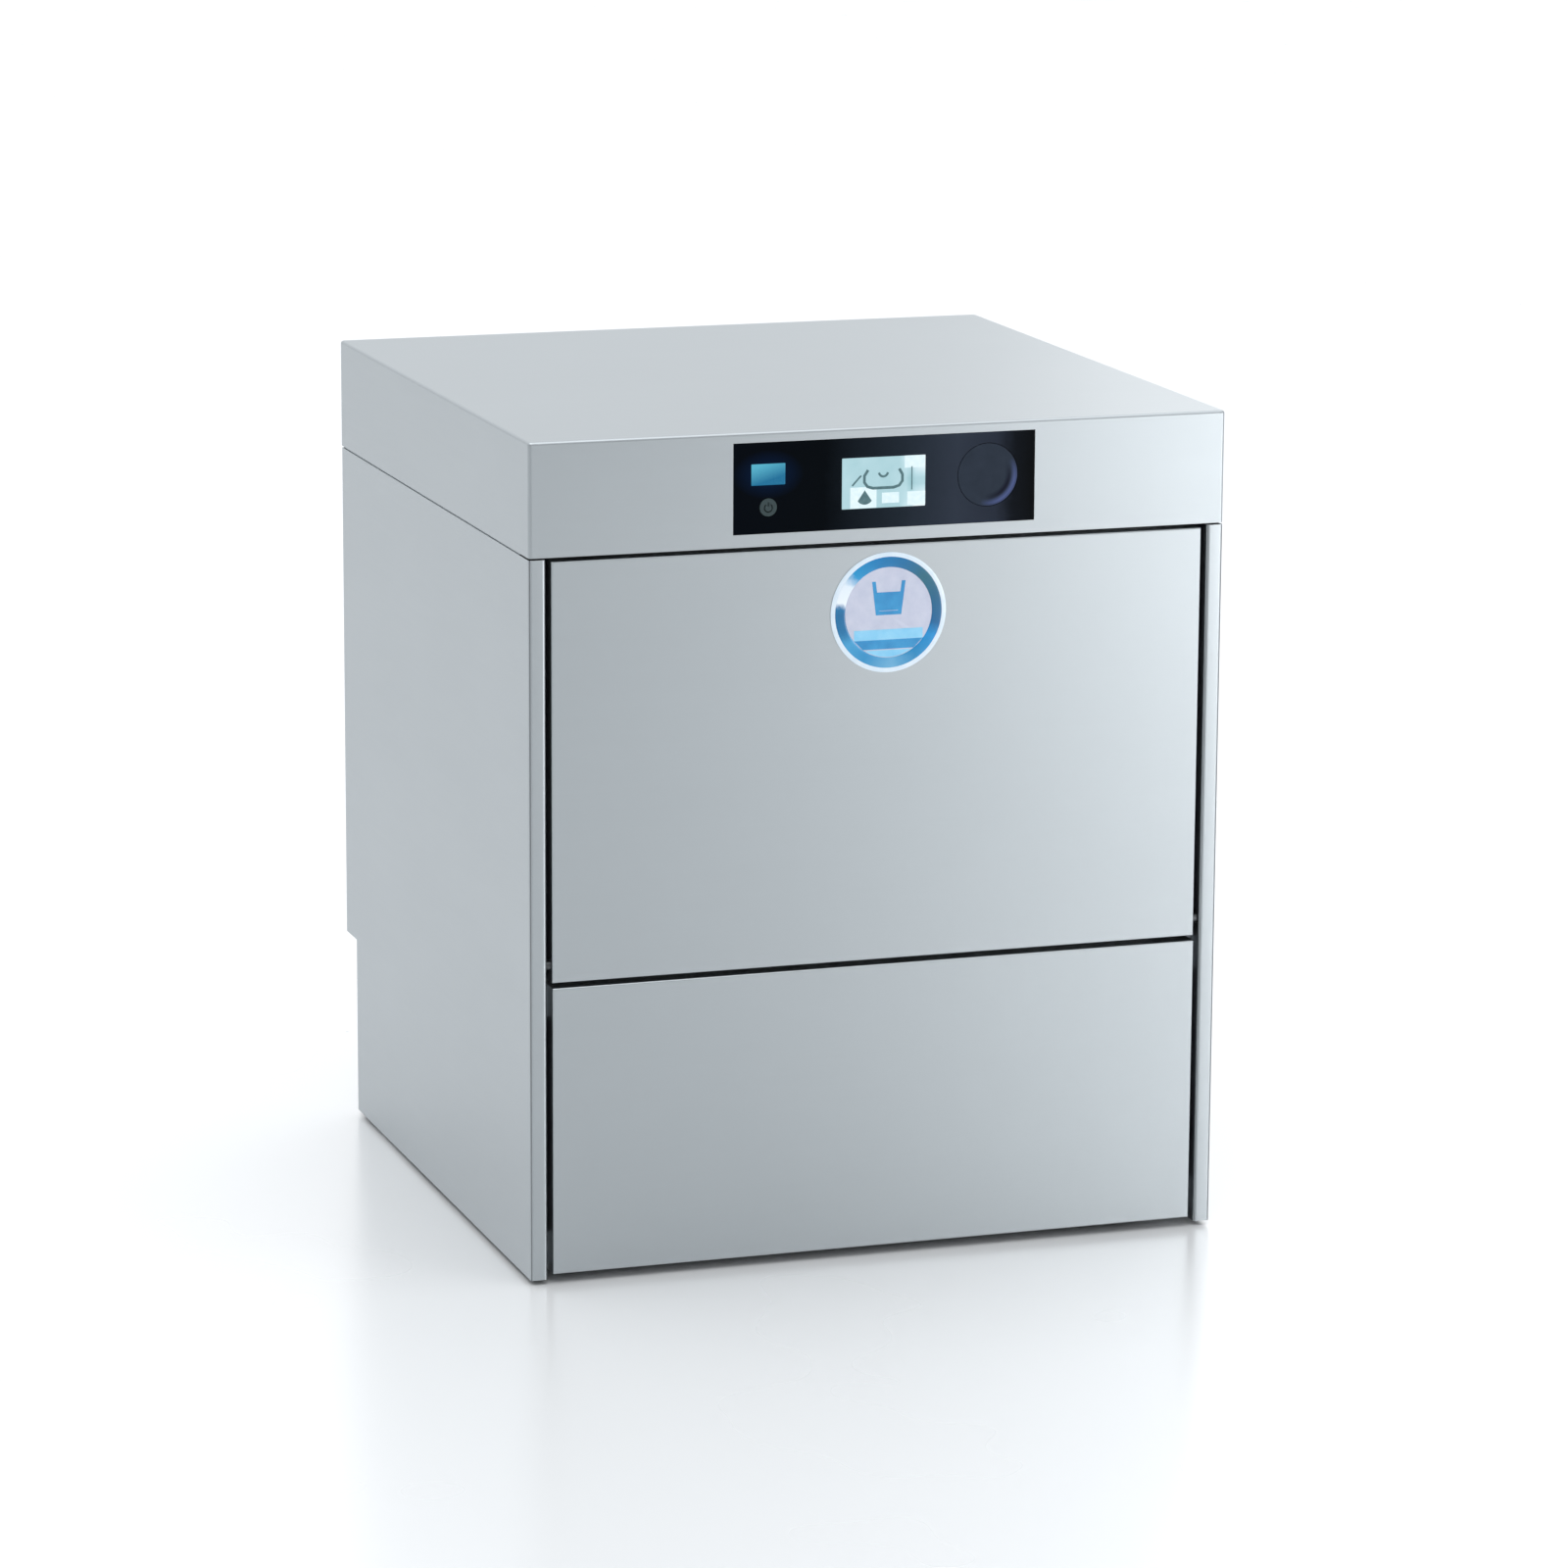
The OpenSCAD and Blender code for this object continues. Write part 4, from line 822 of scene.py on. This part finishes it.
def chamber_details():
    """Spray jets on all four arms, softened arm blades, and the raised panel of the door liner."""
    for node, up in (("lower_wash_arm", 1), ("upper_wash_arm", -1)):
        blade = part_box(node)[0].z + (ARM_BLADE_HIGH if up > 0 else ARM_BLADE_LOW)
        spray_jets(node, WASH_ARM_TURN, WASH_JETS, JET_OFFSET, blade, up, 0.0018, 0.0038, node)
        soften(node, 0.0006)
    for node, up in (("lower_rinse_arm", 1), ("upper_rinse_arm", -1)):
        low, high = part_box(node)
        tube_side = (low.z + high.z) / 2 + up * (RINSE_TUBE - 0.0002)
        spray_jets(node, RINSE_ARM_TURN, RINSE_JETS, 0, tube_side, up, 0.0010, 0.0022, node)

    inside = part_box("door_liner")[1].y
    mouth_low, mouth_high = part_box("door_seal")
    edge, sunk, raised, corner = 0.032, 0.0002, 0.0009, 0.012
    left, right = mouth_low.x + edge + corner, mouth_high.x - edge - corner
    base, over = mouth_low.z + edge + corner, mouth_high.z - edge - corner
    outline = []
    for x, z, start in ((right, over, 0), (left, over, 90), (left, base, 180), (right, base, 270)):
        outline += arc(corner, start, start + 90, 6, (x, z))
    bm = bmesh.new()
    flat_shape(bm, outline, inside - sunk, sunk + raised)
    round_edges(bm, [e for e in corners(bm, 60) if min(v.co.y for v in e.verts) > inside], 0.0008, 3)
    piece("door_liner_panel", bm, "door", "inner_sheet", 50, True)


# ---------------------------------------------------------------- rear connections and machine bay

REAR_PLATE = 0.2615
INLET_COLLAR = 0.004


def rear_connections():
    """Thread on the water inlet, barbs on the drain spigot, a hexagon and a ribbed cap on the cable gland."""
    back = (0, 1, 0)
    low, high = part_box("inlet_valve")
    inlet_x = (low.x + high.x) / 2
    bore_z = low.z + 0.018
    turned("inlet_thread", ribs(INLET_COLLAR, high.y - REAR_PLATE, 0.0018, 0.01322, 0.01345),
           (inlet_x, REAR_PLATE, bore_z), back, "cabinet", "white_plastic", 40)
    low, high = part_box("drain_outlet")
    middle = (low + high) / 2
    turned("drain_barbs", ribs(0.008, high.y - REAR_PLATE - 0.002, 0.0062, 0.01102, 0.01122),
           (middle.x, REAR_PLATE, middle.z), back, "cabinet", "black_plastic", 40)
    low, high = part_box("mains_gland")
    middle = (low + high) / 2
    collar = (high.x - low.x) / 2
    hexagon = collar / math.cos(math.pi / 6) + 0.0002
    inside, nut_end = collar * 0.74, 0.0122
    nut = [(0, inside), (0, hexagon - 0.0008), (0.0008, hexagon), (nut_end - 0.001, hexagon),
           (nut_end, hexagon - 0.001), (nut_end, inside)]
    turned("gland_nut", nut, (middle.x, REAR_PLATE, middle.z), back, "cabinet",
           "black_plastic", 6)
    turned("gland_cap", ribs(nut_end, high.y - REAR_PLATE - 0.003, 0.0022, collar * 0.76, collar * 0.82),
           (middle.x, REAR_PLATE, middle.z), back, "cabinet", "black_plastic", 32)


def machine_bay():
    """Finned pump motor with its fan cowl, and the boiler's welded end caps."""
    low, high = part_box("wash_pump_motor")
    middle = (low + high) / 2
    radius, long = (high.z - low.z) / 2, high.x - low.x
    cowl, fin, root = 0.022, 0.0072, radius - 0.0045
    face, slot_floor, shaft_hole = 0.0005, 0.0034, 0.010
    case = [(0.0012, 0), (0.0012, shaft_hole)]
    for ring in (0.0108, 0.0195, 0.0282):
        case += [(face, ring), (face, ring + 0.0035), (slot_floor, ring + 0.0040),
                 (slot_floor, ring + 0.0082)]
    case += [(face, 0.0370), (face, radius - 0.005), (0.0040, radius - 0.0012), (cowl, radius - 0.0004),
             (cowl, radius - 0.004)]
    fins = int((long - cowl - 0.014) / fin)
    for i in range(fins):
        at = cowl + 0.003 + i * fin
        case += [(at, root), (at + 0.0006, radius), (at + 0.0026, radius), (at + 0.0034, root)]
    case += [(long - 0.009, root), (long - 0.0085, radius), (long - 0.0008, radius), (long, radius - 0.001),
             (long, shaft_hole)]
    motor = turned("wash_pump_motor_case", case, (low.x, middle.y, middle.z), (1, 0, 0), "cabinet",
                   "cast_aluminium", 64)
    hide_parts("wash_pump_motor")

    low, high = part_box("boiler")
    middle = (low + high) / 2
    radius, half = (high.z - low.z) / 2, (high.y - low.y) / 2
    under, edge, crest, width = radius - 0.002, radius + 0.0004, radius + 0.0012, 0.0036
    bead = [(0, under), (0, edge), (0.001, crest), (width - 0.001, crest), (width, edge), (width, under)]
    bm = bmesh.new()
    for end in (-1, 1):
        lathe(bm, bead, (middle.x, middle.y + end * (half - 0.012), middle.z), (0, -end, 0), 72)
    piece("boiler_seams", bm, "cabinet", "bright_steel")


# ---------------------------------------------------------------- springs

def balance_springs():
    """Two extension springs: close turns between two end hooks."""
    low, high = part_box("balance_springs")
    radius = (high.y - low.y) / 2
    wire = 0.0010
    coil = radius - wire
    hook = 0.012
    turns, steps_a_turn = 46, 14
    steps = turns * steps_a_turn
    rise = (high.z - low.z - 2 * hook) / steps
    for side in (-1, 1):
        centre = Vector((side * (high.x - radius), (low.y + high.y) / 2, low.z))
        bm = bmesh.new()
        ring = bmesh.ops.create_circle(bm, segments=8, radius=wire)["verts"]
        bmesh.ops.rotate(bm, verts=ring, cent=(0, 0, 0), matrix=Matrix.Rotation(math.pi / 2, 3, "X"))
        bmesh.ops.translate(bm, verts=ring, vec=centre + Vector((coil, 0, hook)))
        edges = list({e for v in ring for e in v.link_edges})
        bmesh.ops.spin(bm, geom=ring + edges, cent=centre, axis=UP, dvec=(0, 0, rise),
                       angle=FULL_TURN * turns, steps=steps, use_merge=False)
        for end, z in ((-1, low.z + hook), (1, high.z - hook)):
            loop = bmesh.ops.create_circle(bm, segments=8, radius=wire)["verts"]
            middle = Vector((centre.x, centre.y, z + end * hook * 0.45))
            size = hook * 0.55 - wire
            bmesh.ops.translate(bm, verts=loop, vec=middle + Vector((size, 0, 0)))
            loop_edges = list({e for v in loop for e in v.link_edges})
            bmesh.ops.spin(bm, geom=loop + loop_edges, cent=middle, axis=(0, 1, 0), angle=FULL_TURN, steps=20,
                           use_merge=True)
        bmesh.ops.remove_doubles(bm, verts=bm.verts, dist=1e-6)
        bmesh.ops.holes_fill(bm, edges=[e for e in bm.edges if e.is_boundary], sides=8)
        spring = piece("balance_spring_" + ("left" if side < 0 else "right"), bm, None,
                       "bright_steel", 60)
        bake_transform(spring)
        if side < 0:
            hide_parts("balance_springs")


# ---------------------------------------------------------------- stage, light and camera

def stage():
    """Plain white glossy floor."""
    material, g = fresh("studio_floor")
    haze = g.noise(g.place(), 3, 2)
    g.surface({"Base Color": g.blend(haze, (0.835, 0.845, 0.855), (0.850, 0.860, 0.870)),
               "Roughness": (0.27 + haze * 0.01).held(), "IOR": 1.6,
               "Coat Weight": 0.85, "Coat IOR": 1.7, "Coat Roughness": 0.22})
    bm = bmesh.new()
    bmesh.ops.create_grid(bm, x_segments=1, y_segments=1, size=60)
    mesh = bpy.data.meshes.new("studio_floor")
    bm.to_mesh(mesh)
    bm.free()
    mesh.materials.append(material)
    floor = bpy.data.objects.new("studio_floor", mesh)
    bpy.context.scene.collection.objects.link(floor)


def surroundings():
    """A white room: plain white where it is seen, softly uneven where the steel mirrors it."""
    world = bpy.data.worlds.new("studio")
    bpy.context.scene.world = world
    world.use_nodes = True
    g = Graph(world.node_tree)
    toward = g.add("ShaderNodeTexCoord", {}, {}, 0)
    right, back, high = (toward.axis(i) for i in range(3))
    level = 0.63 + right * 0.08 + back * 0.28 + (high * 0.55).held()
    room = g.add("ShaderNodeBackground", {}, {"Color": (0.96, 0.98, 1.0, 1), "Strength": level})
    white = g.add("ShaderNodeBackground", {}, {"Color": (1, 1, 1, 1), "Strength": 1.0})
    seen = g.add("ShaderNodeLightPath", {}, {}, 0)
    both = g.add("ShaderNodeMixShader", {}, {0: seen, 1: room, 2: white})
    g.add("ShaderNodeOutputWorld", {}, {"Surface": both})


def soft_light(name, place, target, size, power):
    """A large lamp that lights from place towards target."""
    lamp = bpy.data.lights.new(name, "AREA")
    lamp.shape, lamp.energy = "RECTANGLE", power
    lamp.size, lamp.size_y = size
    shown = bpy.data.objects.new(name, lamp)
    bpy.context.scene.collection.objects.link(shown)
    shown.location = place
    shown.rotation_euler = (Vector(target) - Vector(place)).to_track_quat("-Z", "Y").to_euler()
    shown.visible_camera = False


def sky_light(strength, spread, tilt):
    """Soft light from overhead; spread and tilt are in degrees."""
    lamp = bpy.data.lights.new("skylight", "SUN")
    lamp.energy, lamp.angle = strength, math.radians(spread)
    shown = bpy.data.objects.new("skylight", lamp)
    shown.rotation_euler = [math.radians(turn) for turn in tilt]
    bpy.context.scene.collection.objects.link(shown)


def camera():
    """The viewing point, worked out from the angle, the distance and the point looked at."""
    azimuth, elevation, roll = map(math.radians, (-18.50, 12.25, 0.308))
    distance, target = 5.403, Vector((0.01696, 0, 0.33936))
    back = Vector((math.sin(azimuth) * math.cos(elevation), -math.cos(azimuth) * math.cos(elevation),
                   math.sin(elevation)))
    right = (-back).cross(UP).normalized()
    up = right.cross(-back)
    side = right * math.cos(roll) + up * math.sin(roll)
    over = -right * math.sin(roll) + up * math.cos(roll)
    lens = bpy.data.cameras.new("camera")
    lens.lens, lens.sensor_width, lens.clip_end = 142.56, 36, 200
    shown = bpy.data.objects.new("camera", lens)
    bpy.context.scene.collection.objects.link(shown)
    turn = Matrix((side, over, back)).transposed().to_4x4()
    shown.matrix_world = Matrix.Translation(target + back * distance) @ turn
    bpy.context.scene.camera = shown


camera()
stage()
surroundings()
bpy.context.scene.view_settings.view_transform = "Standard"
soft_light("right_front_softbox", (1.45, -1.95, 0.55), (0.15, -0.25, 0.3), (0.9, 1.0), 10.5)
soft_light("right_rear_softbox", (2.2, 2.6, 1.9), (0.25, 0.1, 0.7), (1.8, 1.2), 7)
sky_light(1.15, 70, (10, -8, 0))

for node, finish in FINISH_OF.items():
    NODES[node].data.materials.clear()
    NODES[node].data.materials.append(FINISH[finish])

cabinet_sheets()
control_fascia()
display_signs()
door_badge()
chamber_details()
rear_connections()
machine_bay()
balance_springs()
